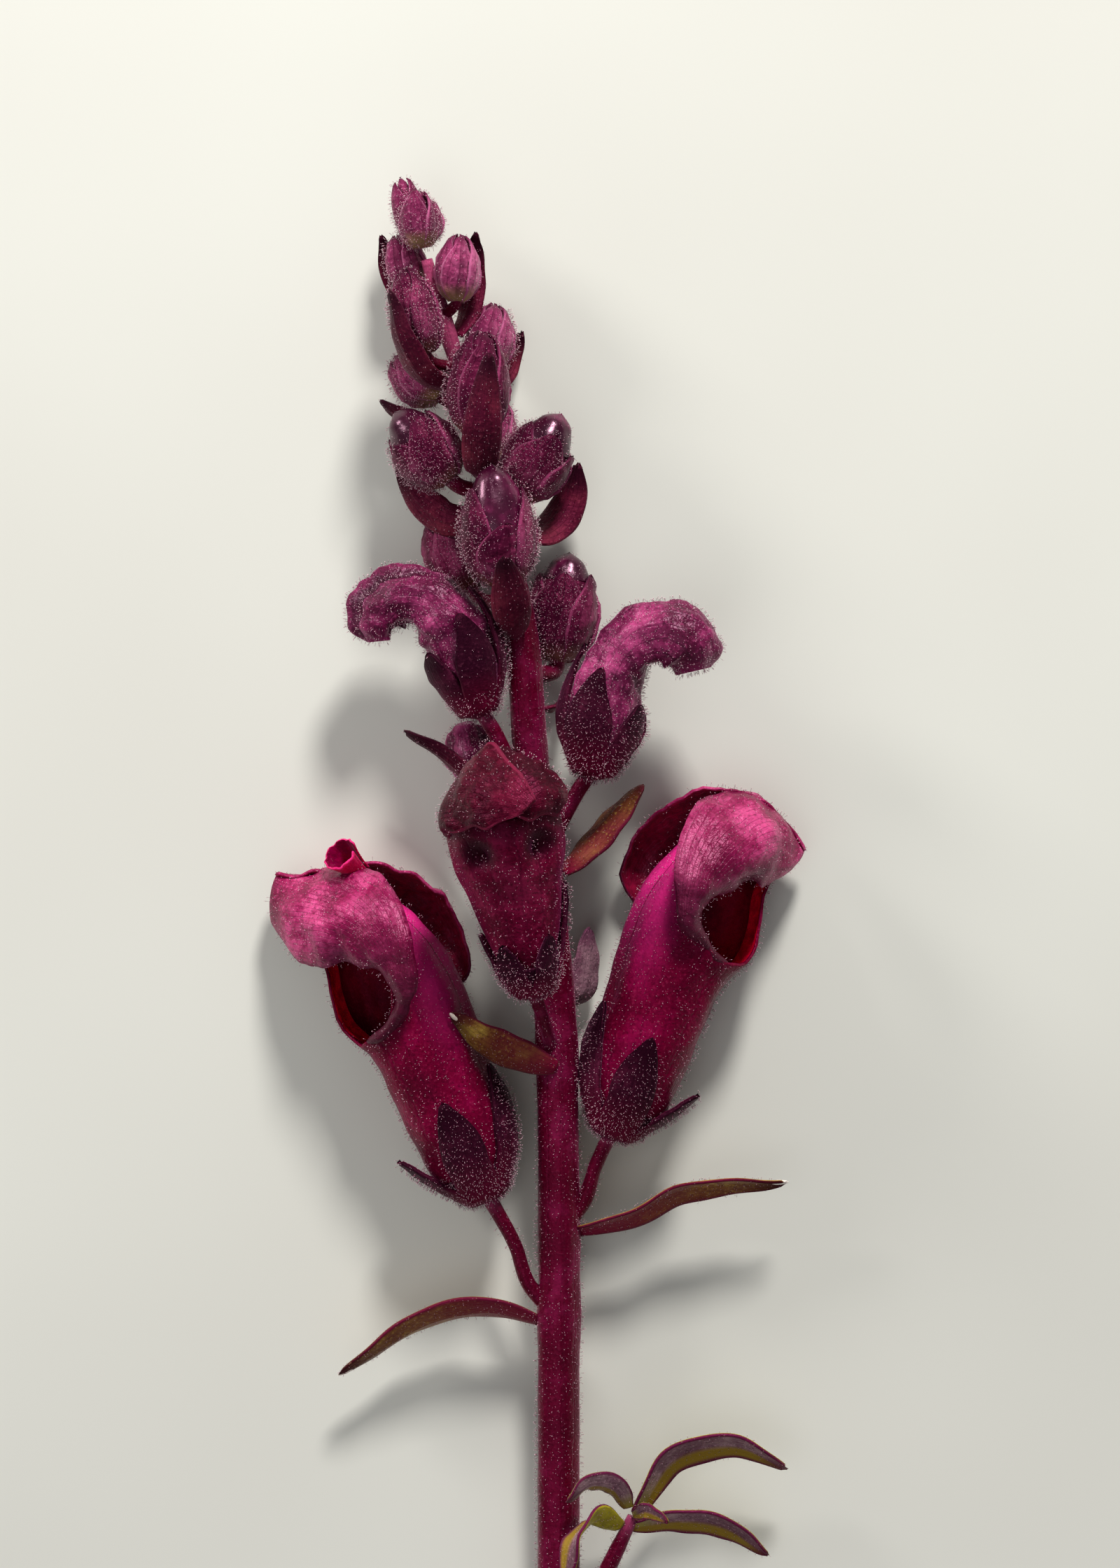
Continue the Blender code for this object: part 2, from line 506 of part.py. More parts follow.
def blade(name, route, across, width, fold):
    """Make a leaf-like blade along a midrib, folded a little and pointed at its end."""
    across = unit(across)

    def place(u, v):
        near = through(route, [u - 0.01, u, u + 0.01])
        tangent = unit(near[2] - near[0])
        side = unit(across - np.dot(across, tangent) * tangent)
        face = np.cross(tangent, side)
        share = 2.0 * v - 1.0
        arch = math.sin(math.pi * (BLADE_STARTS + (1.0 - BLADE_STARTS) * u)) ** BLADE_FULLNESS
        half = 0.5 * width * (BLADE_ROOT_WIDTH + (1.0 - BLADE_ROOT_WIDTH) * arch)
        if u >= 1.0:
            half = 0.0
        return near[1] + side * half * share + face * fold * half / width * 2.0 * share ** 2
    return sheet(name, place, BLADE_ROWS, BLADE_COLUMNS, BLADE)


def largest_body(made):
    """Keep only the largest connected piece of a mesh."""
    shape = bmesh.new()
    shape.from_mesh(made.data)
    left = set(shape.verts)
    groups = []
    while left:
        group = {left.pop()}
        border = list(group)
        while border:
            vertex = border.pop()
            for edge in vertex.link_edges:
                other = edge.other_vert(vertex)
                if other in left:
                    left.discard(other)
                    group.add(other)
                    border.append(other)
        groups.append(group)
    groups.sort(key=len)
    loose = [vertex for group in groups[:-1] for vertex in group]
    bmesh.ops.delete(shape, geom=loose, context="VERTS")
    shape.to_mesh(made.data)
    shape.free()


def fuse(name, pieces, solver="EXACT"):
    """Join closed pieces into one body with one Boolean union on a collection."""
    first = pieces[0]
    others = bpy.data.collections.new(name + "_pieces")
    bpy.context.scene.collection.children.link(others)
    for piece in pieces[1:]:
        bpy.context.scene.collection.objects.unlink(piece)
        others.objects.link(piece)
    union = first.modifiers.new("join", "BOOLEAN")
    union.operation = "UNION"
    union.operand_type = "COLLECTION"
    union.collection = others
    union.solver = solver
    bake(first)
    for piece in pieces[1:]:
        bpy.data.objects.remove(piece)
    bpy.data.collections.remove(others)
    turn_outward(first, weld=FUSED_WELD)
    largest_body(first)
    first.name = name
    return first


def settle(made):
    """Press what would hang below the surface flat onto it."""
    for vertex in made.data.vertices:
        vertex.co.z = max(vertex.co.z, 0.0)


def material(slot):
    """Make or find the material of a slot."""
    found = bpy.data.materials.get(slot)
    if found is not None:
        return found
    colour, roughness = COLOURS[slot]
    made = bpy.data.materials.new(slot)
    made.use_nodes = True
    principled = made.node_tree.nodes["Principled BSDF"]
    principled.inputs["Base Color"].default_value = (*colour, 1.0)
    principled.inputs["Roughness"].default_value = roughness
    principled.inputs["Metallic"].default_value = 0.0
    return made


def finish(made, name, slot, collection):
    """Name a finished node, give it its material and put it in the stem's collection."""
    made.name = name
    made.data.name = name
    settle(made)
    made.data.materials.clear()
    made.data.materials.append(material(slot))
    made.data.shade_smooth()
    made.data.set_sharp_from_angle(angle=math.radians(SHARP_EDGE_DEG))
    bpy.context.scene.collection.objects.unlink(made)
    collection.objects.link(made)


class Flower:
    """The frame of a flower: up its tube, outward from the stem, and sideways to the viewer."""

    def __init__(self, base, lean, outward_sign, turn, rise=0.0):
        up = np.array((math.sin(lean), math.cos(lean), 0.0))
        plane = outward_sign * np.array((math.cos(lean), -math.sin(lean), 0.0))
        top = np.array((0.0, 0.0, 1.0))
        self.base = np.asarray(base, float)
        self.up = unit(up + rise * top)
        self.out = unit(math.cos(turn) * plane - math.sin(turn) * top)
        self.out = unit(self.out - np.dot(self.out, self.up) * self.up)
        self.side = math.sin(turn) * plane + math.cos(turn) * top
        self.side = unit(self.side - np.dot(self.side, self.up) * self.up)
        self.side = unit(self.side - np.dot(self.side, self.out) * self.out)

    def place(self, height, outward, sideways):
        """Turn height, outward and sideways into a point."""
        return self.base + height * self.up + outward * self.out + sideways * self.side

    def wall(self, sections, height, angle, lift=0.0):
        """Give a point on the tube's wall at a height and an angle from the outward side."""
        heights = [section[0] for section in sections]
        offset, radius_out, radius_side = (
            np.interp(height, heights, [section[index] for section in sections]) for index in (1, 2, 3))
        return self.place(height, offset + (radius_out + lift) * math.cos(angle),
                          (radius_side + lift) * math.sin(angle))


def open_corolla(name, flower, sections, rim, lobes, palate_span, extras):
    """Make a corolla: its tube with the lower lip, its palate and the two lobes of the upper lip."""
    angles = [entry[0] for entry in rim]
    heights = [entry[1] for entry in rim]

    def tube(u, v):
        angle = -180.0 + 360.0 * v
        height = u * np.interp(abs(angle), angles, heights)
        return flower.wall(sections, height, math.radians(angle))

    def lobe_side(lobe, sign):
        table = np.asarray(lobe, float)
        stations = table.reshape(len(lobe), 9)

        def place(u, v):
            rear, crest, front = through(stations, u)[0].reshape(3, 3)
            point = ((1.0 - v) * (1.0 - 2.0 * v) * rear + 4.0 * v * (1.0 - v) * crest
                     + v * (2.0 * v - 1.0) * front)
            return flower.place(point[0], point[1], sign * point[2])
        return place

    pieces = [sheet(name, tube, TUBE_ROWS, TUBE_COLUMNS, PETAL, closed=True, offset=-1.0)]
    for lobe, sign in zip(lobes, (1.0, -1.0)):
        pieces.append(sheet(name + "_lobe", lobe_side(lobe, sign), LOBE_ROWS, LOBE_COLUMNS, PETAL))
    pieces.append(palate(name, flower, sections, palate_span))
    pieces.extend(extras)
    return fuse(name, pieces, "MANIFOLD")


def palate(name, flower, sections, span):
    """Make the raised fold of the lower lip that closes the throat between the side windows."""
    low, high = span

    def place(u, v):
        height = low + (high - low) * u
        wall = flower.wall(sections, height, 0.0, -PALATE_SUNK)
        outer = np.dot(wall - flower.base, flower.out)
        inner = PALATE_INNER + PALATE_HOLLOW * (2.0 * u - 1.0) ** 2
        return flower.place(height, inner + (outer - inner) * v, 0.0)

    return sheet(name + "_palate", place, PALATE_ROWS, PALATE_COLUMNS, PALATE)


def lobed_bowl(name, place_wall, sepals, floor):
    """Make a calyx as one thick bowl whose rim rises in a pointed lobe for each sepal.

    place_wall(height, angle, lift) gives a point beside the tube, and floor is the depth below it.
    """
    columns = len(BOWL_CORNERS) * len(sepals)
    lengths = [sepal[0] for sepal in sepals]
    flares = [sepal[1] for sepal in sepals]

    def place(u, v):
        column = int(round(v * columns)) % columns
        index, corner = divmod(column, len(BOWL_CORNERS))
        before = lengths[index - 1]
        length = lengths[index]
        if corner == 0:
            top = BOWL_RIMS[0] * 0.5 * (before + length)
            flare = 0.0
        else:
            top = BOWL_RIMS[corner] * length
            flare = flares[index] * BOWL_RIMS[corner]
        angle = 2.0 * math.pi * (index - 0.5 + BOWL_CORNERS[corner]) / len(sepals) + math.pi
        if u < BOWL_FLOOR_TO:
            return place_wall(-floor, angle, None)
        if u < BOWL_FOOT_TO:
            return place_wall(-0.5 * floor, angle, 0.0)
        rise = (u - BOWL_WALL_FROM) / (1.0 - BOWL_WALL_FROM)
        return place_wall(top * rise, angle, BOWL_LIFT + flare * rise ** 2)

    return sheet(name, place, CALYX_ROWS, columns, SEPAL, closed=True)


def calyx(name, flower, sections, sepals):
    """Make the calyx of an open flower round the foot of its tube."""
    clear = GAP + 0.5 * SEPAL

    def place_wall(height, angle, lift):
        if lift is None:
            return flower.wall(sections, 0.0, angle, -sections[0][2]) + height * flower.up
        if height < 0.0:
            return flower.wall(sections, 0.0, angle, lift + CALYX_FOOT_LIFT) + height * flower.up
        return flower.wall(sections, height, angle, clear + lift)

    return lobed_bowl(name, place_wall, sepals, CALYX_FLOOR)


def stamens(name, flower, sections, length):
    """Make four stamens that rise from one ring round the ovary."""
    offset = sections[0][1]

    def ring(u, v):
        angle = 2.0 * math.pi * v
        return flower.place(STAMEN_RING_HEIGHT + STAMEN_RING_TALL * u,
                            offset + STAMEN_RING_RADIUS * math.cos(angle),
                            STAMEN_RING_RADIUS * math.sin(angle))

    pieces = [sheet(name, ring, 1, STAMEN_RING_COLUMNS, STAMEN_RING_WALL, closed=True)]
    for angle, share in STAMENS:
        turned = math.radians(angle)
        foot_back = STAMEN_RING_RADIUS * math.cos(turned)
        heights = (STAMEN_RING_HEIGHT + 0.3, 0.5 * length * share, length * share)
        backs = (foot_back, *FILAMENT_BACK[1:])
        points = [flower.place(height, offset + back, apart * math.sin(turned))
                  for height, back, apart in zip(heights, backs, FILAMENT_APART)]
        path = [(*point, radius) for point, radius in zip(points, FILAMENT_RADII)]
        pieces.append(rod(name + "_filament", path, 0, FILAMENT_SIDES))
        low = points[-1] - ANTHER_BELOW * flower.up
        high = points[-1] + ANTHER_ABOVE * flower.up
        pieces.append(loft(name + "_anther", egg(low, high, ANTHER_RADIUS, flower.out), 0.0, 1.0, 3, 6))
    return fuse(name, pieces)


def pistil(name, flower, sections, length):
    """Make the ovary with its style and stigma as one turned body."""
    offset = sections[0][1]
    top = [(height, *part) for height, part in zip((length - STIGMA, length), PISTIL_TOP)]
    stations = (*PISTIL, *top)
    axis = [flower.place(height, offset + back, 0.0) for height, _, back in stations]
    body = Body(axis, [(size, size) for _, size, _ in stations], flower.out)
    return loft(name, body, 0.0, 1.0, PISTIL_RINGS, PISTIL_SIDES)


def small_bud(name, body, end):
    """Make a bud wrapped in five sepals, each overlapping the next, as one closed body."""
    sides = BUD_SIDES_A_SEPAL * SEPALS_IN_A_CALYX
    vertices = [body.centre(0.0)]
    for along, relief in BUD_RINGS:
        for side in range(sides):
            angle = 2.0 * math.pi * side / sides
            step = (side % BUD_SIDES_A_SEPAL) / (BUD_SIDES_A_SEPAL - 1.0) - 0.5
            middle = 1.0 - abs(2.0 * step)
            place = min(along * end * (1.0 + SEPAL_MIDDLE_RISE * relief * (middle - 0.5)), 1.0)
            vertices.append(body.point(place, angle, SEPAL_STEP * relief * step))
    vertices.append(body.centre(end * BUD_CLOSES))
    made = new_object(name, vertices, ringed_faces(len(BUD_RINGS), sides))
    turn_outward(made)
    return made


def ringed_faces(rings, sides):
    """List the faces of a body made of rings between two poles."""
    last = 1 + rings * sides
    faces = []
    for side in range(sides):
        following = (side + 1) % sides
        faces.append((0, 1 + following, 1 + side))
        for ring in range(rings - 1):
            a = 1 + ring * sides + side
            b = 1 + ring * sides + following
            faces.append((a, b, b + sides))
            faces.append((a, b + sides, a + sides))
        top = 1 + (rings - 1) * sides
        faces.append((top + side, top + following, last))
    return faces


def petal_tip(name, body, start):
    """Make the glossy end of the petals above the sepals."""
    return loft(name, body, start, 1.0, 4, 10, lift=-0.35)


def build_stem(collection, stalks):
    """Make the main stem with every stalk fused to it."""
    pieces = [rod("stem", STEM_AXIS, STEM_SIDES_RESOLUTION, STEM_STATIONS)]
    for index, path in enumerate(stalks):
        pieces.append(rod(f"stalk_{index}", path, STALK_SIDES_RESOLUTION, len(path) + 1))
    finish(fuse("stem", pieces), "stem", "stem", collection)


def clear_scene():
    """Remove the objects that a new file holds."""
    for old in list(bpy.data.objects):
        bpy.data.objects.remove(old)


def flower_frames():
    """Give the frames of the two open flowers and the half open one."""
    left = Flower((-6.06, -30.5, 8.3), math.radians(-22.5), -1.0, TURNED_FROM_VIEWER)
    right = Flower((8.84, -22.9, 8.3), math.radians(20.1), 1.0, TURNED_FROM_VIEWER)
    front = Flower((-0.8, -5.5, 17.2), math.radians(-10.0), 1.0, math.radians(-88.0), rise=0.12)
    return left, right, front


def build_flowers(collection):
    """Make the open and half open flowers with what they hold."""
    left, right, front = flower_frames()

    rise = math.sqrt(1.0 - CURL_LEAN ** 2)

    def curl(u, v):
        turned = math.radians(CURL_ARC[0] + (CURL_ARC[1] - CURL_ARC[0]) * v)
        radius = CURL_RADIUS + CURL_WIDENS * u
        height, outward, sideways = CURL_FOOT
        return left.place(height + CURL_LONG * rise * u - CURL_LEAN * radius * math.sin(turned),
                          outward + radius * math.cos(turned),
                          sideways + CURL_LONG * CURL_LEAN * u + rise * radius * math.sin(turned))

    curled = sheet("curl", curl, CURL_ROWS, CURL_COLUMNS, BLADE)
    left_lobes, right_lobes = (LEFT_LOBE, LEFT_LOBE), (RIGHT_LOBE, RIGHT_LOBE)
    plans = (
        ("left", left, OPEN_TUBE, LEFT_RIM, left_lobes, OPEN_SEPALS, (curled,), OPEN_PALATE, OPEN_REACH),
        ("right", right, OPEN_TUBE, RIGHT_RIM, right_lobes, OPEN_SEPALS, (), OPEN_PALATE, OPEN_REACH),
        ("front", front, HALF_TUBE, HALF_RIM, HALF_LOBES, HALF_SEPALS, (), HALF_PALATE, HALF_REACH),
    )
    for name, flower, tube, rim, lobes, sepals, extras, span, reach in plans:
        made = open_corolla(f"corolla_{name}", flower, tube, rim, lobes, span, extras)
        finish(made, f"corolla_{name}", "petal", collection)
        finish(calyx(f"calyx_{name}", flower, tube, sepals), f"calyx_{name}", "sepal", collection)
        finish(stamens(f"stamens_{name}", flower, tube, reach), f"stamens_{name}", "anther", collection)
        finish(pistil(f"pistil_{name}", flower, tube, reach), f"pistil_{name}", "anther", collection)


def build_hooked(collection):
    """Make the hooked flowers and their calyces."""
    for name, (axis, radii, outward) in HOOKED.items():
        body = Body(axis, radii, outward, level=True)
        finish(loft(name, body, 0.0, 1.0, HOOKED_RINGS, HOOKED_SIDES), name, "petal", collection)
        start = np.asarray(axis[0], float)
        tangent = unit(np.asarray(axis[1], float) - start)

        def place_wall(height, angle, lift, body=body, tangent=tangent):
            if lift is None:
                return body.centre(0.0) + height * tangent
            if height < 0.0:
                return body.point(0.0, angle, lift + HOOKED_FOOT_LIFT) + height * tangent
            return body.point(height, angle, lift + GAP + HOOKED_CLEAR * SEPAL)

        sepals = [(HOOKED_AXIS_SHARE * share, HOOKED_FLARE) for share in HOOKED_SEPALS]
        bowl = lobed_bowl(f"calyx_{name}", place_wall, sepals, HOOKED_FLOOR)
        finish(bowl, f"calyx_{name}", "sepal", collection)


def build_buds(collection):
    """Make the buds, the glossy tips of the larger ones and the growing tip."""
    for name, (base, tip, radius, outward) in BUDS.items():
        body = egg(base, tip, radius, outward)
        end = 1.0
        if name in BUDS_WITH_PETALS:
            end = PETALS_SHOW_FROM
            finish(petal_tip(f"petals_{name}", body, end), f"petals_{name}", "petal", collection)
        finish(small_bud(name, body, end), name, "bud", collection)
    pieces = []
    for index, (base, tip, radius, outward) in enumerate(GROWING_TIP):
        body = egg(base, tip, radius, outward)
        pieces.append(loft(f"growing_{index}", body, 0.0, 1.0, TIP_RINGS, TIP_SIDES))
    finish(fuse("growing_tip", pieces), "growing_tip", "bud", collection)


def build_leaves(collection):
    """Make the bracts, the side shoot and its leaves."""
    for name, (route, across, width, fold) in BRACTS.items():
        finish(blade(name, route, across, width, fold), name, "bract", collection)
    for name, (route, across, width, fold) in SHOOT_LEAVES.items():
        finish(blade(name, route, across, width, fold), name, "leaf", collection)


def stalks():
    """List the stalks that grow from the main stem, as x, y, z and radius stations."""
    left, right, front = flower_frames()
    paths = []
    for flower, (offset, radius, stations) in zip((left, right, front), FLOWER_STALKS):
        foot = flower.place(-STALK_ENDS_BELOW, offset, 0.0)
        paths.append([*stations, (*foot, radius)])
    paths.extend(HOOK_STALKS)
    paths.append(SHOOT_AXIS)
    for base, tip, radius, _ in BUDS.values():
        base = np.asarray(base, float)
        axis = unit(np.asarray(tip, float) - base)
        foot = base - (GAP + STALK_GAP) * axis
        thick = BUD_STALK_SHARE * radius
        heights = [station[1] for station in STEM_AXIS]
        root = [np.interp(base[1] - BUD_STALK_DROP, heights, [station[index] for station in STEM_AXIS])
                for index in (0, 1, 2)]
        neck = foot - STALK_NECK * thick * axis
        paths.append([(*root, thick), (*neck, thick), (*foot, thick)])
    return paths


def main():
    """Build the whole stem."""
    clear_scene()
    collection = bpy.data.collections.new("snapdragon_stem")
    bpy.context.scene.collection.children.link(collection)
    build_stem(collection, stalks())
    build_flowers(collection)
    build_hooked(collection)
    build_buds(collection)
    build_leaves(collection)


main()
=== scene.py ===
"""Looks of a cut snapdragon stem that lies on a pale surface.

The stem lies along +Y with its tip at +Y, +X is to its right and +Z is up, towards the camera. Sizes in
the tables are in millimetres and become metres when a mesh is made.
"""
import logging
import math
from dataclasses import dataclass, field
from enum import Enum
from typing import Callable, Optional, Sequence

import bmesh
import bpy
import numpy as np
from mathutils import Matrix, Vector


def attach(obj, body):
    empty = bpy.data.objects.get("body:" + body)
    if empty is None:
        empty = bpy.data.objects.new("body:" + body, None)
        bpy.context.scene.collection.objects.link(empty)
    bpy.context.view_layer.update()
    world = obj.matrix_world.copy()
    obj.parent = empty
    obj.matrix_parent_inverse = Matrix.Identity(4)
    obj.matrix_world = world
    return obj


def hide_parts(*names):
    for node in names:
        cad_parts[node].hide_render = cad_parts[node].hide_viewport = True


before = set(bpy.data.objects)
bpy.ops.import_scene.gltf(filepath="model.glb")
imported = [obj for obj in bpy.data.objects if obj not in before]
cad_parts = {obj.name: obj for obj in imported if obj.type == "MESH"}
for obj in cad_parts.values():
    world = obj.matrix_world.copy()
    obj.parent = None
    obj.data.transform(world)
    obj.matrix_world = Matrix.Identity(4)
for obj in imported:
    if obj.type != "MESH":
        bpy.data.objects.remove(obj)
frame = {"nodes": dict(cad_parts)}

LOG = logging.getLogger("snapdragon")
MM = 0.001
BODY = "root"
WELD = 0.00001
FLOOR_CLEARANCE = 0.0005
FULL_TURN = 2.0 * math.pi
AXIS_STEP = 0.01
TOP = np.array((0.0, 0.0, 1.0))
MARKS = ("along", "across", "layer", "hair", "dark")

Colour = tuple[float, float, float]
Row = Sequence[float]


def colour(red: int, green: int, blue: int) -> Colour:
    """Turn a colour as seen on a screen, in parts from 0 to 255, into linear light."""
    shares = (part / 255.0 for part in (red, green, blue))
    return tuple(share / 12.92 if share <= 0.04045 else ((share + 0.055) / 1.055) ** 2.4 for share in shares)


def unit(vectors: np.ndarray) -> np.ndarray:
    """Give vectors the length 1.

    Args:
        vectors: One vector, or an array of them along the last axis.

    Returns:
        The vectors at length 1.
    """
    array = np.asarray(vectors, float)
    lengths = np.linalg.norm(array, axis=-1, keepdims=True)
    return array / np.where(lengths < 1e-12, 1.0, lengths)


def smooth(value: np.ndarray, low: float, high: float) -> np.ndarray:
    """Rise smoothly from 0 to 1.

    Args:
        value: The values to read.
        low: Where the rise starts.
        high: Where the rise ends, which may be below low for a fall.

    Returns:
        The share of the rise at each value.
    """
    share = np.clip((np.asarray(value, float) - low) / (high - low), 0.0, 1.0)
    return share * share * (3.0 - 2.0 * share)


def hump(value: np.ndarray, centre: float, width: float) -> np.ndarray:
    """Give a bell curve of height 1."""
    return np.exp(-((value - centre) / width) ** 2)


def read_between(places: Row, values: np.ndarray, where: np.ndarray) -> np.ndarray:
    """Read a smooth curve through values at rising places.

    Args:
        places: Where the values are known.
        values: A value or a row of values for each place.
        where: Where to read.

    Returns:
        The values read.
    """
    places = np.asarray(places, float)
    values = np.asarray(values, float)
    where = np.clip(where, places[0], places[-1])
    slopes = np.gradient(values, places, axis=0)
    index = np.clip(np.searchsorted(places, where, side="right") - 1, 0, len(places) - 2)
    span = places[index + 1] - places[index]
    part = (where - places[index]) / span
    if values.ndim > 1:
        span, part = span[..., None], part[..., None]
    square, cube = part ** 2, part ** 3
    return ((2 * cube - 3 * square + 1) * values[index] + (cube - 2 * square + part) * slopes[index] * span
            + (3 * square - 2 * cube) * values[index + 1] + (cube - square) * slopes[index + 1] * span)


def through(points: Sequence[Row], where: np.ndarray) -> np.ndarray:
    """Read a smooth curve through points at parameters from 0 to 1, spaced by distance.

    Args:
        points: The points, of three values or more each.
        where: The parameters to read.

    Returns:
        One row for each parameter.
    """
    knots = np.asarray(points, float)
    places = np.concatenate(([0.0], np.cumsum(np.linalg.norm(np.diff(knots[:, :3], axis=0), axis=1))))
    return read_between(places / places[-1], knots, np.atleast_1d(where))


def path_length(points: Sequence[Row]) -> float:
    """Give the length of a path of straight lines between points."""
    return np.linalg.norm(np.diff(np.asarray(points, float), axis=0), axis=1).sum()


def lattice(rows: int, columns: int) -> tuple[np.ndarray, np.ndarray]:
    """Give shares from 0 to 1 down the rows and from -1 to 1 over the columns."""
    return np.linspace(0.0, 1.0, rows)[:, None], np.linspace(-1.0, 1.0, columns)[None, :]


def around(sides: int) -> np.ndarray:
    """Give a row of angles round a full turn."""
    return np.linspace(0.0, FULL_TURN, sides, endpoint=False)[None, :]


def eased(count: int) -> np.ndarray:
    """Give shares from 0 to 1 that lie closer together towards both ends."""
    return 0.5 * (1.0 - np.cos(math.pi * (np.arange(count) + 0.5) / count))


def ripples(points: np.ndarray, size: float, seed: int) -> np.ndarray:
    """Give soft wrinkles that vary from place to place.

    Args:
        points: Places in millimetres, along the last axis.
        size: The size of a wrinkle in millimetres.
        seed: Chooses the directions and phases of the waves.

    Returns:
        Heights from about -1 to 1.
    """
    draw = np.random.default_rng(seed)
    total = np.zeros(points.shape[:-1])
    waves = 7
    for _ in range(waves):
        direction = unit(draw.normal(size=3))
        phase = draw.uniform(0.0, FULL_TURN)
        stretch = draw.uniform(0.7, 1.6)
        bend = 0.8 * np.sin(points @ unit(draw.normal(size=3)) * math.pi / size + phase)
        total += np.sin(points @ direction * FULL_TURN * stretch / size + phase + bend)
    return total / math.sqrt(waves)


def crumple(grid: np.ndarray, height: float, size: float, seed: int, closed: bool = False) -> np.ndarray:
    """Press soft wrinkles into a sheet.

    Args:
        grid: Points by row and column.
        height: How high they are.
        size: The size of a wrinkle.
        seed: Chooses the wrinkles.
        closed: Whether the last column meets the first.

    Returns:
        The points with the wrinkles.
    """
    return grid + height * ripples(grid, size, seed)[..., None] * sheet_normals(grid, closed)


def linked(name: str, data: bpy.types.ID) -> bpy.types.Object:
    """Make an object and link it to the scene.

    Args:
        name: The object's name.
        data: Its mesh, light or camera.

    Returns:
        The object.
    """
    made = bpy.data.objects.new(name, data)
    bpy.context.scene.collection.objects.link(made)
    return made


class Skin:
    """A mesh under construction, with the places and marks that the finishes read."""

    def __init__(self) -> None:
        """Start with nothing."""
        self.points: list[np.ndarray] = []
        self.faces: list[tuple[int, ...]] = []
        self.marks: dict[str, list[np.ndarray]] = {name: [] for name in MARKS}
        self.slots: list[int] = []
        self.count = 0

    def add(self, points: np.ndarray, faces: Sequence[tuple[int, ...]], slot: int = 0,
            **marks: np.ndarray) -> None:
        """Add a lot of points with the faces between them.

        Args:
            points: The points in millimetres, one row each.
            faces: Faces as indices into these points.
            slot: The finish that the faces take, by its place in the finished piece's list.
            **marks: Values of along, across, layer, hair and painted shade for each point.
        """
        self.points.append(np.asarray(points, float))
        self.faces.extend(tuple(corner + self.count for corner in face) for face in faces)
        self.slots.extend([slot] * len(faces))
        for name, held in self.marks.items():
            default = 1.0 if name == "hair" else 0.0
            held.append(np.broadcast_to(np.asarray(marks.get(name, default), float), (len(points),)))
        self.count += len(points)

    def sheet(self, grid: np.ndarray, thickness: float, closed: bool = False, slot: int = 0,
              inner: Optional[Sequence[int]] = None, hair: float = 1.0, inner_hair: float = 0.0,
              heart: Optional[np.ndarray] = None, dark: Optional[np.ndarray] = None) -> None:
        """Add a thick sheet.

        Args:
            grid: Points by row and column, in millimetres.
            thickness: The thickness in millimetres.
            closed: Whether the last column meets the first.
            slot: The finish of its faces.
            inner: The finish of the inner faces of each column, where it is another one.
            hair: How hairy the outer face is.
            inner_hair: How hairy the inner face is.
            heart: Points that the outer face looks away from, by default the middle of each row.
            dark: How much painted shade darkens each point, from 0 to 1.
        """
        rows, columns = grid.shape[:2]
        normal = sheet_normals(grid, closed)
        away = grid - (grid.mean(axis=1, keepdims=True) if heart is None else heart)
        normal = normal * (1.0 if (normal * away).sum() > 0.0 else -1.0)
        outer = grid + 0.5 * thickness * normal
        inside = grid - 0.5 * thickness * normal
        size = rows * columns
        first = len(self.slots)
        row, column = np.meshgrid(np.arange(rows), np.arange(columns), indexing="ij")
        along = row / (rows - 1.0)
        across = column / (columns if closed else columns - 1.0)
        last = columns if closed else columns - 1
        faces = []
        slots = []
        for r in range(rows - 1):
            for c in range(last):
                a = r * columns + c
                b = r * columns + (c + 1) % columns
                faces.append((a, b, b + columns, a + columns))
                faces.append((a + size, a + columns + size, b + columns + size, b + size))
                slots.extend((slot, slot if inner is None else inner[c]))
        edges = [(r * columns + c, r * columns + (c + 1) % columns, r == 0)
                 for r in (0, rows - 1) for c in range(last)]
        if not closed:
            edges += [(r * columns + c, (r + 1) * columns + c, c > 0)
                      for c in (0, columns - 1) for r in range(rows - 1)]
        for a, b, turned in edges:
            faces.append((b, a, a + size, b + size) if turned else (a, b, b + size, a + size))
        self.add(
            np.concatenate((outer.reshape(-1, 3), inside.reshape(-1, 3))), faces, slot,
            along=np.tile(along.ravel(), 2), across=np.tile(across.ravel(), 2),
            layer=np.repeat((0.0, 1.0), size), hair=np.repeat((hair, inner_hair), size),
            dark=0.0 if dark is None else np.tile(dark.ravel(), 2),
        )
        self.slots[first:first + len(slots)] = slots

    def rings(self, grid: np.ndarray, start: np.ndarray, end: np.ndarray, slot: int = 0,
              hair: float = 1.0, dark: Optional[np.ndarray] = None) -> None:
        """Add a closed body made of rings between two poles.

        Args:
            grid: Points by ring and side, in millimetres.
            start: The pole before the first ring.
            end: The pole after the last ring.
            slot: The finish of its faces.
            hair: How hairy it is.
            dark: How much painted shade darkens each point, from 0 to 1.
        """
        count, sides = grid.shape[:2]
        faces = []
        for side in range(sides):
            following = (side + 1) % sides
            faces.append((0, 1 + following, 1 + side))
            for ring in range(count - 1):
                a = 1 + ring * sides + side
                b = 1 + ring * sides + following
                faces.append((a, b, b + sides, a + sides))
            top = 1 + (count - 1) * sides
            faces.append((top + side, top + following, 1 + count * sides))
        along = np.concatenate(([0.0], np.repeat((np.arange(count) + 0.5) / count, sides), [1.0]))
        across = np.concatenate(([0.0], np.tile(np.arange(sides) / sides, count), [0.0]))
        darkness = 0.0 if dark is None else np.concatenate(([0.0], dark.ravel(), [0.0]))
        self.add(np.concatenate(([start], grid.reshape(-1, 3), [end])), faces, slot,
                 along=along, across=across, hair=hair, dark=darkness)

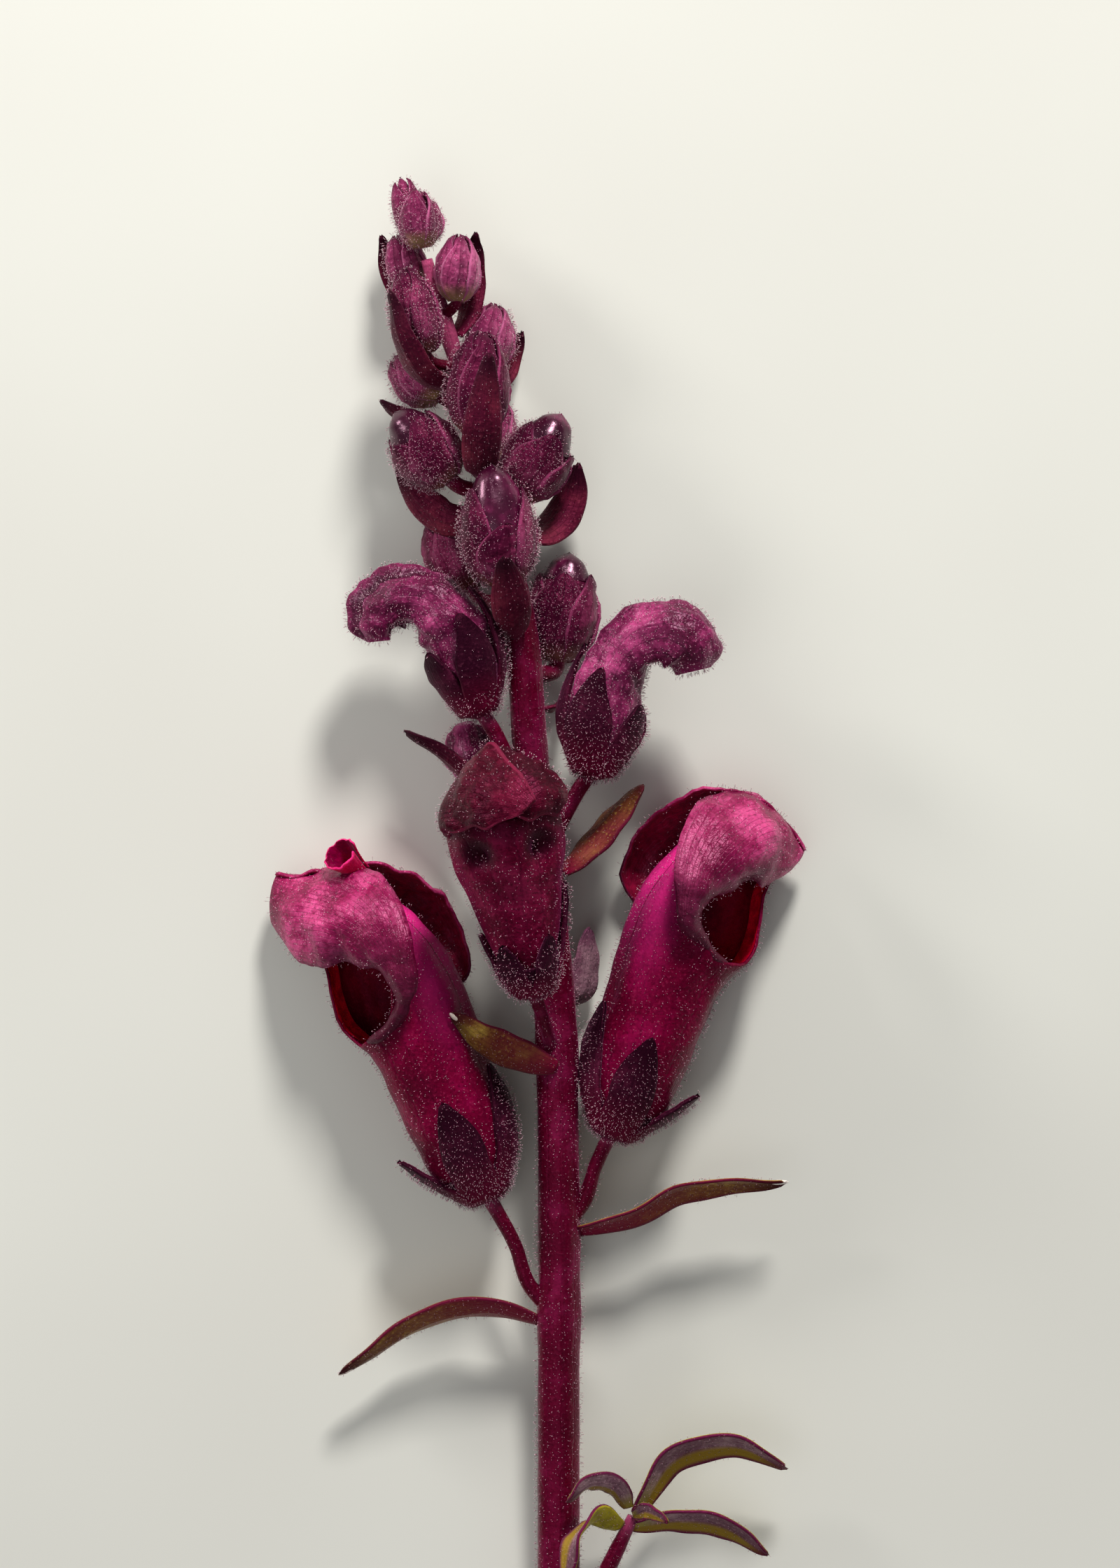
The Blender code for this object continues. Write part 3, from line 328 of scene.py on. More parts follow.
    def made(self, name: str) -> bpy.types.Object:
        """Make the object with every face turned outward.

        Args:
            name: The object's name.

        Returns:
            The object, linked to the scene, with its marks as attributes.
        """
        mesh = bpy.data.meshes.new(name)
        mesh.from_pydata((np.concatenate(self.points) * MM).tolist(), [], self.faces)
        for mark, values in self.marks.items():
            layer = mesh.attributes.new(mark, "FLOAT", "POINT")
            layer.data.foreach_set("value", np.concatenate(values).astype(np.float32))
        mesh.polygons.foreach_set("material_index", self.slots)
        shape = bmesh.new()
        shape.from_mesh(mesh)
        bmesh.ops.remove_doubles(shape, verts=shape.verts, dist=WELD)
        bmesh.ops.recalc_face_normals(shape, faces=shape.faces)
        shape.to_mesh(mesh)
        shape.free()
        mesh.shade_smooth()
        return linked(name, mesh)


def sheet_normals(grid: np.ndarray, closed: bool) -> np.ndarray:
    """Work out the direction square to a sheet at each of its points.

    Args:
        grid: Points by row and column.
        closed: Whether the last column meets the first.

    Returns:
        Unit vectors by row and column.
    """
    up = np.gradient(grid, axis=0)
    wide = np.roll(grid, -1, axis=1) - np.roll(grid, 1, axis=1) if closed else np.gradient(grid, axis=1)
    normal = np.cross(wide, up)
    sizes = np.linalg.norm(normal, axis=-1)
    for row in range(grid.shape[0]):
        if sizes[row].max() < 1e-9:
            normal[row] = normal[row - 1 if row > grid.shape[0] // 2 else row + 1]
    return unit(normal)


def transport(centres: np.ndarray, first_side: Row) -> tuple[np.ndarray, np.ndarray]:
    """Carry a pair of directions along a path without twisting them.

    Args:
        centres: Points of the path.
        first_side: A direction that the first pair starts from.

    Returns:
        The two directions square to the path at each point.
    """
    tangents = unit(np.gradient(centres, axis=0))
    sides = np.zeros_like(centres)
    side = np.asarray(first_side, float)
    for index, tangent in enumerate(tangents):
        side = unit(side - np.dot(side, tangent) * tangent)
        sides[index] = side
    return sides, np.cross(tangents, sides)


class NodeTools:
    """A node tree, with a short way to add a node to it."""

    def __init__(self, tree: bpy.types.NodeTree) -> None:
        """Hold the tree's nodes and links."""
        self.nodes = tree.nodes
        self.links = tree.links

    def put(self, target: bpy.types.NodeSocket, value: object) -> None:
        """Link a socket to an input, or set the input to a plain value.

        Args:
            target: The input.
            value: A socket, a number or a colour.
        """
        if isinstance(value, bpy.types.NodeSocket):
            self.links.new(value, target)
        elif isinstance(value, tuple) and len(value) == 3 and target.type == "RGBA":
            target.default_value = (*value, 1.0)
        else:
            target.default_value = value

    def node(self, kind: str, inputs: dict[object, object], **settings: str) -> bpy.types.Node:
        """Add a node.

        Args:
            kind: Blender's name for it.
            inputs: Sockets or plain values by the input's name or number.
            **settings: Its other settings.

        Returns:
            The node.
        """
        node = self.nodes.new(kind)
        for name, value in settings.items():
            setattr(node, name, value)
        for name, value in inputs.items():
            self.put(node.inputs[name], value)
        return node


class NodeSheet(NodeTools):
    """A material's node tree, with short ways to add the nodes that the finishes share."""

    def __init__(self, name: str) -> None:
        """Make the material with its shader.

        Args:
            name: The material's name.
        """
        self.material = bpy.data.materials.new(name)
        self.material.use_nodes = True
        super().__init__(self.material.node_tree)
        self.shader = self.nodes["Principled BSDF"]
        self.places = self.nodes.new("ShaderNodeTexCoord").outputs["Object"]

    def mark(self, name: str) -> bpy.types.NodeSocket:
        """Read one of the marks that a mesh carries."""
        return self.node("ShaderNodeAttribute", {}, attribute_name=name).outputs["Fac"]

    def math(self, operation: str, *values: object) -> bpy.types.NodeSocket:
        """Do arithmetic, by Blender's name for it, on sockets and numbers."""
        return self.node("ShaderNodeMath", dict(enumerate(values)), operation=operation).outputs[0]

    def times(self, first: object, second: object) -> bpy.types.NodeSocket:
        """Multiply two sockets or numbers."""
        return self.math("MULTIPLY", first, second)

    def off_middle(self, value: object) -> bpy.types.NodeSocket:
        """Tell how far a value is from a half."""
        return self.math("ABSOLUTE", self.math("SUBTRACT", value, 0.5))

    def band(self, value: object, low: float, high: float) -> bpy.types.NodeSocket:
        """Rise smoothly from 0 to 1 between two values."""
        inputs = {"Value": value, "From Min": low, "From Max": high}
        return self.node("ShaderNodeMapRange", inputs, interpolation_type="SMOOTHSTEP").outputs[0]

    def noise(self, per_metre: float, detail: float = 3.0) -> bpy.types.NodeSocket:
        """Give cloudy noise by place, at a scale and with its finest detail."""
        inputs = {"Scale": per_metre, "Detail": detail, "Vector": self.places}
        return self.node("ShaderNodeTexNoise", inputs).outputs[0]

    def dots(self, per_metre: float, radius: float) -> bpy.types.NodeSocket:
        """Give round dots scattered by place.

        Args:
            per_metre: How many cells there are in a metre.
            radius: A dot's radius as a share of its cell.

        Returns:
            1 inside a dot and 0 outside.
        """
        cells = self.node("ShaderNodeTexVoronoi", {"Scale": per_metre, "Vector": self.places})
        return self.band(cells.outputs["Distance"], radius, 0.55 * radius)

    def mix(self, share: object, first: object, second: object) -> bpy.types.NodeSocket:
        """Mix two colours, with a share of the second."""
        inputs = {"Factor": share, 6: first, 7: second}
        return self.node("ShaderNodeMix", inputs, data_type="RGBA").outputs[2]

    def bump(self, height: bpy.types.NodeSocket, strength: float, depth: float) -> None:
        """Press a height from 0 to 1 into the surface, at a strength and to a depth in metres."""
        inputs = {"Strength": strength, "Distance": depth, "Height": height}
        self.put(self.shader.inputs["Normal"], self.node("ShaderNodeBump", inputs).outputs[0])

    def dressed(self, inputs: dict[str, object]) -> bpy.types.Material:
        """Set the shader's inputs.

        Args:
            inputs: Sockets or plain values by the input's name.

        Returns:
            The material.
        """
        for name, value in inputs.items():
            self.put(self.shader.inputs[name], value)
        return self.material


@dataclass(frozen=True)
class PlantSkin:
    """The skin of a petal, leaf, sepal or stem.

    The mark along runs from its base to its tip, across runs over its width or round it, and layer is 1
    on its inner face. A band of two numbers tells where a tone starts and where it is full.
    """

    MIDDLE_BAND = (0.3, 0.55)
    LIGHT_BAND = (0.66, 0.86)
    GRAIN_HIGHLIGHT_BAND = (0.56, 0.7)
    GRAIN_SHADE_BAND = (0.44, 0.3)
    VEIN_BAND = (0.35, 0.0)
    FLANK_BAND = (0.46, 0.3)
    LAYER_BAND = (0.78, 0.96)
    LOWER_BAND = (0.35, 0.65)
    MARGIN_FULL = 0.48
    RIDGE_HIGHLIGHT_FULL = 0.95
    WANDER_A_METRE = 260.0
    WANDER = 2.7
    GRAIN_HEIGHT = 0.8
    VEIN_DEPTH = 0.2
    DOT_HEIGHT = 0.6
    PAINTED_SHADE_SHARE = 0.92
    RELIEF = 0.7
    GLOW_RADIUS = (1.0, 0.15, 0.25)
    GLOW_SCALE = 0.0012
    SHEEN_ROUGH = 0.35
    VELVET_A_METRE = 2600.0
    PAINTED_SHADE_TONE = colour(20, 0, 6)

    name: str
    deep: Colour
    middle: Colour
    light: Colour
    inner: Colour
    tip: Colour
    tip_from: float = 2.0
    tip_to: float = 2.1
    base: Colour = (0.0, 0.0, 0.0)
    base_to: float = -1.0
    veins: float = 0.0
    vein_depth: float = 0.5
    vein: Colour = (0.02, 0.0, 0.01)
    spot: Colour = (0.6, 0.3, 0.4)
    spots: float = 0.5
    spot_size: float = 0.16
    spots_a_metre: float = 1500.0
    cloud_a_metre: float = 140.0
    rough: float = 0.5
    sheen: float = 0.5
    sheen_tint: Colour = (0.9, 0.5, 0.7)
    bump_depth: float = 0.0002
    glow: float = 0.0
    ridge: Optional[Colour] = None
    ridge_from: float = 0.55
    ridge_half: float = 0.1
    margin: Optional[Colour] = None
    margin_from: float = 0.36
    flank: Optional[Colour] = None
    gloss_tint: Colour = colour(255, 96, 160)
    shine: float = 0.22
    velvet: float = 0.5

    def material(self) -> bpy.types.Material:
        """Make the material.

        Returns:
            The material.
        """
        sheet = NodeSheet(self.name)
        along, across, layer, dark = (sheet.mark(name) for name in ("along", "across", "layer", "dark"))
        cloud = sheet.noise(self.cloud_a_metre)
        fine = sheet.noise(6.0 * self.cloud_a_metre, 4.0)
        grain = sheet.noise(self.VELVET_A_METRE, 2.0)
        patches = sheet.math("ADD", cloud, sheet.times(fine, 0.35))
        shade = sheet.mix(sheet.band(cloud, *self.MIDDLE_BAND), self.deep, self.middle)
        shade = sheet.mix(sheet.band(patches, *self.LIGHT_BAND), shade, self.light)
        # Painted sheen and shade on the fine grain: its raised spots are paled as a highlight and its sunk
        # spots darkened as shade, matching the grain's bump.
        grain_highlight = tuple(min(1.0, 1.7 * part + 0.02) for part in self.light)
        raised = sheet.times(sheet.band(grain, *self.GRAIN_HIGHLIGHT_BAND), 0.55 * self.velvet)
        shade = sheet.mix(raised, shade, grain_highlight)
        grain_shade = tuple(0.35 * part for part in self.deep)
        shade = sheet.mix(sheet.times(sheet.band(grain, *self.GRAIN_SHADE_BAND), self.velvet), shade, grain_shade)
        height = sheet.times(grain, self.GRAIN_HEIGHT)
        if self.veins > 0.0:
            wander = sheet.times(sheet.noise(self.WANDER_A_METRE, 2.0), self.WANDER)
            turns = sheet.math("ADD", sheet.times(across, self.veins * FULL_TURN), wander)
            wave = sheet.math("ABSOLUTE", sheet.math("SINE", sheet.times(turns, 0.5)))
            line = sheet.band(wave, *self.VEIN_BAND)
            shade = sheet.mix(sheet.times(line, self.vein_depth), shade, self.vein)
            height = sheet.math("SUBTRACT", height, sheet.times(line, self.VEIN_DEPTH))
        if self.base_to > 0.0:
            shade = sheet.mix(sheet.band(along, self.base_to, 0.0), shade, self.base)
        if self.flank is not None:
            shade = sheet.mix(sheet.band(across, *self.FLANK_BAND), shade, self.flank)
        # The margin colour is most skins' own edge colour; on the front flower's lobes it is a painted
        # highlight along their edges.
        if self.margin is not None:
            edge = sheet.band(sheet.off_middle(across), self.margin_from, self.MARGIN_FULL)
            shade = sheet.mix(edge, shade, self.margin)
        if self.tip_from < 1.0:
            shade = sheet.mix(sheet.band(along, self.tip_from, self.tip_to), shade, self.tip)
        # Painted highlight: a bright magenta band down the back ridge of the tube, towards its top.
        if self.ridge is not None:
            back = sheet.band(sheet.off_middle(across), 0.5 - self.ridge_half, 0.5)
            reach = sheet.band(along, self.ridge_from, self.RIDGE_HIGHLIGHT_FULL)
            shade = sheet.mix(sheet.times(back, reach), shade, self.ridge)
        lower = tuple(0.6 * part for part in self.inner)
        inside = sheet.mix(sheet.band(fine, *self.LOWER_BAND), self.inner, lower)
        shade = sheet.mix(sheet.band(layer, *self.LAYER_BAND), shade, inside)
        # Painted shade: marked points are darkened towards a near-black crimson, standing in for shadow in
        # pits, folds, grooves and under the lips.
        shade = sheet.mix(sheet.times(dark, self.PAINTED_SHADE_SHARE), shade, self.PAINTED_SHADE_TONE)
        specks = sheet.dots(self.spots_a_metre, self.spot_size)
        shade = sheet.mix(sheet.times(specks, self.spots), shade, self.spot)
        height = sheet.math("ADD", height, sheet.times(specks, self.DOT_HEIGHT))
        sheet.bump(height, self.RELIEF, self.bump_depth)
        return sheet.dressed({
            "Base Color": shade, "Roughness": self.rough, "Sheen Weight": self.sheen,
            "Sheen Roughness": self.SHEEN_ROUGH, "Sheen Tint": self.sheen_tint,
            "Specular IOR Level": self.shine, "Specular Tint": self.gloss_tint,
            "Subsurface Weight": self.glow, "Subsurface Radius": self.GLOW_RADIUS,
            "Subsurface Scale": self.GLOW_SCALE,
        })


@dataclass(frozen=True)
class HairFinish:
    """Pink hairs with a pale gland at the tip."""

    name: str = "gland_hair"
    shaft: Colour = colour(132, 48, 84)
    gland: Colour = colour(255, 222, 230)

    def material(self) -> bpy.types.Material:
        """Make the material.

        Returns:
            The material.
        """
        sheet = NodeSheet(self.name)
        shade = sheet.mix(sheet.band(sheet.mark("reach"), 0.72, 0.9), self.shaft, self.gland)
        varied = sheet.mix(sheet.times(sheet.noise(900.0, 1.0), 0.3), shade, self.shaft)
        return sheet.dressed({"Base Color": varied, "Roughness": 0.35, "Specular IOR Level": 0.6})


@dataclass(frozen=True)
class PithFinish:
    """The cut end of the stem: pale pith mottled with green."""

    name: str = "cut_pith"
    pith: Colour = colour(196, 202, 150)
    mottle: Colour = colour(122, 140, 74)

    def material(self) -> bpy.types.Material:
        """Make the material.

        Returns:
            The material.
        """
        sheet = NodeSheet(self.name)
        grain = sheet.noise(3200.0, 3.0)
        sheet.bump(grain, 0.5, 0.0001)
        return sheet.dressed({"Base Color": sheet.mix(sheet.band(grain, 0.4, 0.62), self.pith, self.mottle),
                              "Roughness": 0.6})


@dataclass(frozen=True)
class FloorFinish:
    """The plain pale surface under the stem."""

    name: str = "pale_surface"
    light: Colour = colour(212, 212, 204)
    shade: Colour = colour(206, 205, 197)

    def material(self) -> bpy.types.Material:
        """Make the material.

        Returns:
            The material.
        """
        sheet = NodeSheet(self.name)
        cloud = sheet.band(sheet.noise(9.0, 2.0), 0.3, 0.7)
        return sheet.dressed({"Base Color": sheet.mix(cloud, self.light, self.shade), "Roughness": 0.8})


def skin(name: str, *tones: Sequence[int], **more: object) -> PlantSkin:
    """Describe a skin with colours as seen on a screen.

    Args:
        name: Its name.
        *tones: The deep, middle, light, inner and tip colours.
        **more: Other values of the PlantSkin, where three numbers are a colour.

    Returns:
        The skin.
    """
    others = {key: colour(*value) if isinstance(value, tuple) else value for key, value in more.items()}
    return PlantSkin(name, *(colour(*tone) for tone in tones), **others)


HOOK_SKIN = skin(
    "hook_skin", (58, 2, 28), (98, 14, 58), (160, 56, 106), (80, 6, 40), (130, 34, 84), tip_from=0.8,
    tip_to=1.0, veins=16.0, vein_depth=0.35, vein=(40, 0, 22), spot=(206, 130, 166), spots=0.4, rough=0.34,
    sheen=0.4, sheen_tint=(250, 140, 200), gloss_tint=(255, 190, 225), shine=0.35)
PALE_SKIN = skin(
    "pale_skin", (206, 186, 170), (226, 210, 196), (240, 230, 220), (226, 210, 196), (240, 232, 224),
    spots=0.1, rough=0.6, sheen=0.2)
# The ridge colour is a painted highlight on the tube's back ridge.
TUBE_SKIN = skin(
    "tube_skin", (80, 0, 28), (102, 0, 38), (122, 4, 54), (50, 0, 14), (116, 2, 50), base=(96, 0, 36),
    base_to=0.3, veins=14.0, vein_depth=0.25, vein=(66, 0, 28), spot=(206, 110, 150), spots=0.45,
    spot_size=0.11, spots_a_metre=1100.0, rough=0.36, sheen=0.08, sheen_tint=(226, 90, 170), glow=0.1,
    ridge=(226, 44, 136), ridge_from=0.4, ridge_half=0.19)
FRONT_TUBE_SKIN = skin(
    "front_tube_skin", (60, 0, 20), (86, 0, 32), (122, 20, 58), (40, 0, 12), (60, 0, 26), veins=14.0,
    vein_depth=0.3, vein=(52, 0, 24), spot=(206, 120, 156), spot_size=0.13, spots_a_metre=1300.0, rough=0.45,
    sheen=0.1, sheen_tint=(226, 90, 170), glow=0.05)
# The base colour darkens the lobe towards its foot by the window: partly its own deeper tone, partly painted
# shade.
LOBE_SKIN = skin(
    "lobe_skin", (112, 4, 54), (144, 16, 76), (200, 68, 126), (134, 6, 48), (154, 28, 90), base=(62, 0, 24),
    base_to=0.9, veins=20.0, vein_depth=0.4, vein=(88, 2, 40), spot=(78, 2, 36), spots=0.25, spot_size=0.13,
    spots_a_metre=1700.0, cloud_a_metre=200.0, rough=0.35, sheen=0.08, sheen_tint=(255, 150, 200), glow=0.1,
    gloss_tint=(255, 160, 204), shine=0.42)
# The margin here is a painted highlight along the lobes' edges, where one laps over the other.
FRONT_LOBE_SKIN = skin(
    "front_lobe_skin", (34, 0, 8), (52, 0, 15), (88, 12, 36), (60, 0, 20), (64, 4, 28), veins=16.0,
    vein_depth=0.35, vein=(34, 0, 12), spot=(170, 80, 108), spots=0.35, spot_size=0.12, cloud_a_metre=190.0,
    rough=0.4, sheen=0.05, sheen_tint=(255, 130, 170), glow=0.05, margin=(112, 26, 54), margin_from=0.465)
THROAT_SKIN = skin(
    "throat_skin", (56, 0, 8), (86, 0, 16), (118, 2, 28), (84, 0, 16), (70, 0, 14), spots=0.0, sheen=0.0,
    glow=0.1, shine=0.2, velvet=0.25)
# Bright red inner face of the front wall at the window's edge: the petal's own red, lifted partly by painted
# light shining through the thin petal.
BACKLIT_RIM_SKIN = skin(
    "rim_skin", (176, 0, 34), (198, 0, 42), (220, 10, 60), (214, 0, 44), (200, 0, 40), spots=0.0, rough=0.4,
    sheen=0.0, glow=0.3, shine=0.25, velvet=0.2)
CURL_SKIN = skin(
    "curl_skin", (150, 0, 54), (176, 0, 68), (198, 12, 88), (128, 0, 56), (222, 40, 116), tip_from=0.88,
    tip_to=1.0, veins=6.0, vein_depth=0.25, vein=(140, 0, 50), spots=0.1, rough=0.4, sheen=0.1, glow=0.3)
SEPAL_SKIN = skin(
    "sepal_skin", (30, 4, 18), (48, 10, 28), (76, 20, 44), (96, 10, 52), (20, 2, 12), tip_from=0.5,
    tip_to=0.85, base=(92, 6, 38), base_to=0.5, veins=5.0, vein_depth=0.3, vein=(24, 2, 14),
    spot=(120, 50, 80), spots=0.35, rough=0.55, sheen=0.12, sheen_tint=(200, 110, 160))
BUD_SKIN = skin(
    "bud_skin", (54, 6, 30), (84, 18, 48), (130, 52, 86), (96, 20, 54), (56, 6, 32), tip_from=0.7,
    tip_to=1.0, base=(112, 70, 60), base_to=0.22, veins=5.0, vein=(40, 4, 24), spot=(186, 120, 152),
    spots=0.4, rough=0.42, sheen=0.12, sheen_tint=(255, 160, 204), margin=(122, 48, 82), margin_from=0.44)
YOUNG_SKIN = skin(
    "young_skin", (96, 26, 60), (132, 50, 88), (176, 90, 128), (120, 40, 76), (76, 8, 42), tip_from=0.8,
    tip_to=1.0, base=(144, 118, 78), base_to=0.3, veins=4.0, vein=(66, 8, 38), spot=(220, 160, 184),
    spots=0.4, rough=0.45, sheen=0.25, sheen_tint=(255, 180, 214), margin=(164, 84, 122), margin_from=0.44)
GLOSSY_SKIN = skin(
    "glossy_skin", (34, 0, 18), (54, 2, 30), (96, 22, 60), (40, 0, 20), (44, 4, 28), veins=6.0,
    vein_depth=0.3, spots=0.1, rough=0.26, sheen=0.02, bump_depth=0.00004, gloss_tint=(255, 190, 222),
    shine=0.6, velvet=0.1)
STEM_SKIN = skin(
    "stem_skin", (64, 0, 18), (80, 0, 27), (106, 14, 52), (110, 30, 50), (150, 60, 96), tip_from=0.8,
    tip_to=1.0, veins=9.0, vein_depth=0.2, vein=(56, 0, 20), spot=(190, 110, 136), spot_size=0.13,
    spots_a_metre=1300.0, rough=0.34, sheen=0.18, sheen_tint=(240, 90, 170), shine=0.35, velvet=0.3)
BRACT_SKIN = skin(
    "bract_skin", (58, 8, 28), (80, 16, 38), (108, 34, 52), (92, 34, 44), (28, 4, 14), tip_from=0.6,
    tip_to=0.95, base=(96, 16, 46), base_to=0.3, veins=7.0, vein_depth=0.35, vein=(40, 4, 18),
    spot=(170, 110, 120), spots=0.4, sheen=0.15, sheen_tint=(226, 150, 180))
BRONZE_SKIN = skin(
    "bronze_skin", (92, 42, 28), (120, 78, 36), (166, 138, 58), (160, 124, 44), (52, 12, 14), tip_from=0.7,
    tip_to=0.98, base=(112, 8, 44), base_to=0.8, veins=7.0, vein_depth=0.35, vein=(72, 22, 24),
    spot=(200, 160, 120), spots=0.4, rough=0.45, sheen=0.15, sheen_tint=(226, 190, 170), margin=(92, 18, 42),
    margin_from=0.4)
GREY_SKIN = skin(
    "grey_skin", (88, 44, 66), (116, 74, 92), (140, 104, 116), (110, 66, 80), (104, 60, 84), tip_from=0.8,
    tip_to=1.0, base=(96, 30, 56), base_to=0.3, veins=7.0, vein_depth=0.35, vein=(70, 24, 46),
    spot=(190, 150, 160), spots=0.4, sheen=0.15, sheen_tint=(226, 180, 200))
LEAF_SKIN = skin(
    "leaf_skin", (96, 60, 72), (122, 88, 100), (160, 130, 134), (176, 162, 34), (88, 30, 48), tip_from=0.8,
    tip_to=1.0, base=(150, 140, 50), base_to=0.25, veins=7.0, vein_depth=0.35, vein=(70, 26, 40),
    spot=(180, 160, 140), spots=0.3, rough=0.4, sheen=0.12, sheen_tint=(220, 200, 210), margin=(92, 24, 58),
    flank=(138, 112, 34))
ANTHER_SKIN = skin(
    "anther_skin", (214, 186, 104), (232, 210, 138), (244, 230, 176), (232, 210, 138), (226, 200, 120),
    spot=(190, 150, 70), spots=0.2, rough=0.7, sheen=0.2)
FILAMENT_SKIN = skin(
    "filament_skin", (206, 150, 160), (226, 186, 190), (240, 214, 210), (226, 186, 190), (230, 200, 190),
    spots=0.1, rough=0.4, sheen=0.2)
OVARY_SKIN = skin(
    "ovary_skin", (120, 136, 60), (146, 160, 84), (176, 186, 120), (146, 160, 84), (232, 224, 190),
    tip_from=0.45, tip_to=0.6, sheen=0.3)


class Wardrobe:
    """The finishes as materials, each made once."""

    def __init__(self) -> None:
        """Start with none made."""
        self.made: dict[str, bpy.types.Material] = {}

    def take(self, finish: object) -> bpy.types.Material:
        """Give the material of a finish, and make it at its first use.

        Args:
            finish: The finish.

        Returns:
            Its material.
        """
        if finish.name not in self.made:
            self.made[finish.name] = finish.material()
        return self.made[finish.name]


@dataclass(frozen=True)
class Coat:
    """How hairy a piece is, with lengths in millimetres."""

    per_mm2: float
    length: float
    spread: float = 0.45
    width: float = 0.024


COROLLA_COAT = Coat(1.7, 0.7)
CALYX_COAT = Coat(5.0, 0.7)
OVARY_COAT = Coat(2.0, 0.3)
HOOK_COAT = Coat(4.0, 0.7)
HOOK_CALYX_COAT = Coat(6.0, 0.8)
BUD_COAT = Coat(8.0, 0.75)
GLOSSY_COAT = Coat(1.2, 0.45)
BLADE_COAT = Coat(1.7, 0.42)
TIP_COAT = Coat(6.0, 0.6)
STEM_COAT = Coat(2.3, 0.62)


class HairGrower:
    """Grows short hairs with a gland at the tip from a piece, as real faces."""

    ROOT = -0.06
    GLAND_HEIGHT = 0.9
    GLAND_RADIUS = 1.3
    SIDES = 3
    SHORTEST = 0.45
    LONGEST = 1.15
    SOCKETS = (
        ("Bed", "Geometry"), ("Hair", "Object"), ("Finish", "Material"), ("Per square metre", "Float"),
        ("Length", "Float"), ("Width", "Float"), ("Spread", "Float"), ("Lowest", "Float"), ("Seed", "Int"),
    )

    def __init__(self, wardrobe: Wardrobe) -> None:
        """Make the one hair that is repeated, and the tree that repeats it.

        Args:
            wardrobe: Gives the hair's material.
        """
        self.material = wardrobe.take(HairFinish())
        self.form = self.one_hair()
        self.tree = bpy.data.node_groups.new("hair_growth", "GeometryNodeTree")
        self.sockets: dict[str, str] = {}
        self.build_tree()
        self.grown = 0

    def one_hair(self) -> bpy.types.Object:
        """Make a hair that is 1 long, with a ring for its gland.

        Returns:
            The object, which is removed when all hairs are grown.
        """
        points = [(0.0, 0.0, self.ROOT), (0.0, 0.0, 1.0)]
        faces = []
        for side in range(self.SIDES):
            turned = FULL_TURN * side / self.SIDES
            points.append((self.GLAND_RADIUS * math.cos(turned), self.GLAND_RADIUS * math.sin(turned),
                           self.GLAND_HEIGHT))
            here = 2 + side
            after = 2 + (side + 1) % self.SIDES
            faces += [(0, after, here), (here, after, 1)]
        mesh = bpy.data.meshes.new("hair_form")
        mesh.from_pydata(points, [], faces)
        reach = mesh.attributes.new("reach", "FLOAT", "POINT")
        reach.data.foreach_set("value", [point[2] for point in points])
        mesh.shade_smooth()
        return linked("hair_form", mesh)

    def build_tree(self) -> None:
        """Build the tree: points scattered by the mark hair, a hair on each, made real."""
        sockets = self.tree.interface
        for name, kind in self.SOCKETS:
            made = sockets.new_socket(name, in_out="INPUT", socket_type=f"NodeSocket{kind}")
            self.sockets[name] = made.identifier
        sockets.new_socket("Hairs", in_out="OUTPUT", socket_type="NodeSocketGeometry")
        node = NodeTools(self.tree).node
        given = node("NodeGroupInput", {}).outputs
        seed = given["Seed"]
        mark = node("GeometryNodeInputNamedAttribute", {"Name": "hair"}, data_type="FLOAT")
        density = node("ShaderNodeMath", {0: mark.outputs["Attribute"], 1: given["Per square metre"]},
                       operation="MULTIPLY")
        height = node("ShaderNodeSeparateXYZ", {0: node("GeometryNodeInputPosition", {}).outputs[0]})
        above = node("FunctionNodeCompare", {0: height.outputs["Z"], 1: given["Lowest"]},
                     data_type="FLOAT", operation="GREATER_THAN")
        scatter = node("GeometryNodeDistributePointsOnFaces", {
            "Mesh": given["Bed"], "Selection": above.outputs[0], "Density": density.outputs[0], "Seed": seed})
        astray = node("FunctionNodeRandomValue", {0: (-1.0, -1.0, -1.0), 1: (1.0, 1.0, 1.0), "Seed": seed},
                      data_type="FLOAT_VECTOR")
        scaled = node("ShaderNodeVectorMath", {0: astray.outputs[0], "Scale": given["Spread"]},
                      operation="SCALE")
        turned = node("ShaderNodeVectorMath", {0: scatter.outputs["Normal"], 1: scaled.outputs[0]})
        aim = node("FunctionNodeAlignRotationToVector", {"Vector": turned.outputs[0]}, axis="Z")
        vary = node("FunctionNodeRandomValue", {2: self.SHORTEST, 3: self.LONGEST, "Seed": seed},
                    data_type="FLOAT")
        length = node("ShaderNodeMath", {0: vary.outputs[1], 1: given["Length"]}, operation="MULTIPLY")
        wide = given["Width"]
        size = node("ShaderNodeCombineXYZ", {"X": wide, "Y": wide, "Z": length.outputs[0]})
        hair = node("GeometryNodeObjectInfo", {"Object": given["Hair"]})
        plant = node("GeometryNodeInstanceOnPoints", {
            "Points": scatter.outputs["Points"], "Instance": hair.outputs["Geometry"],
            "Rotation": aim.outputs[0], "Scale": size.outputs[0]})
        real = node("GeometryNodeRealizeInstances", {0: plant.outputs[0]})
        dressed = node("GeometryNodeSetMaterial", {"Geometry": real.outputs[0], "Material": given["Finish"]})
        node("NodeGroupOutput", {0: dressed.outputs[0]})

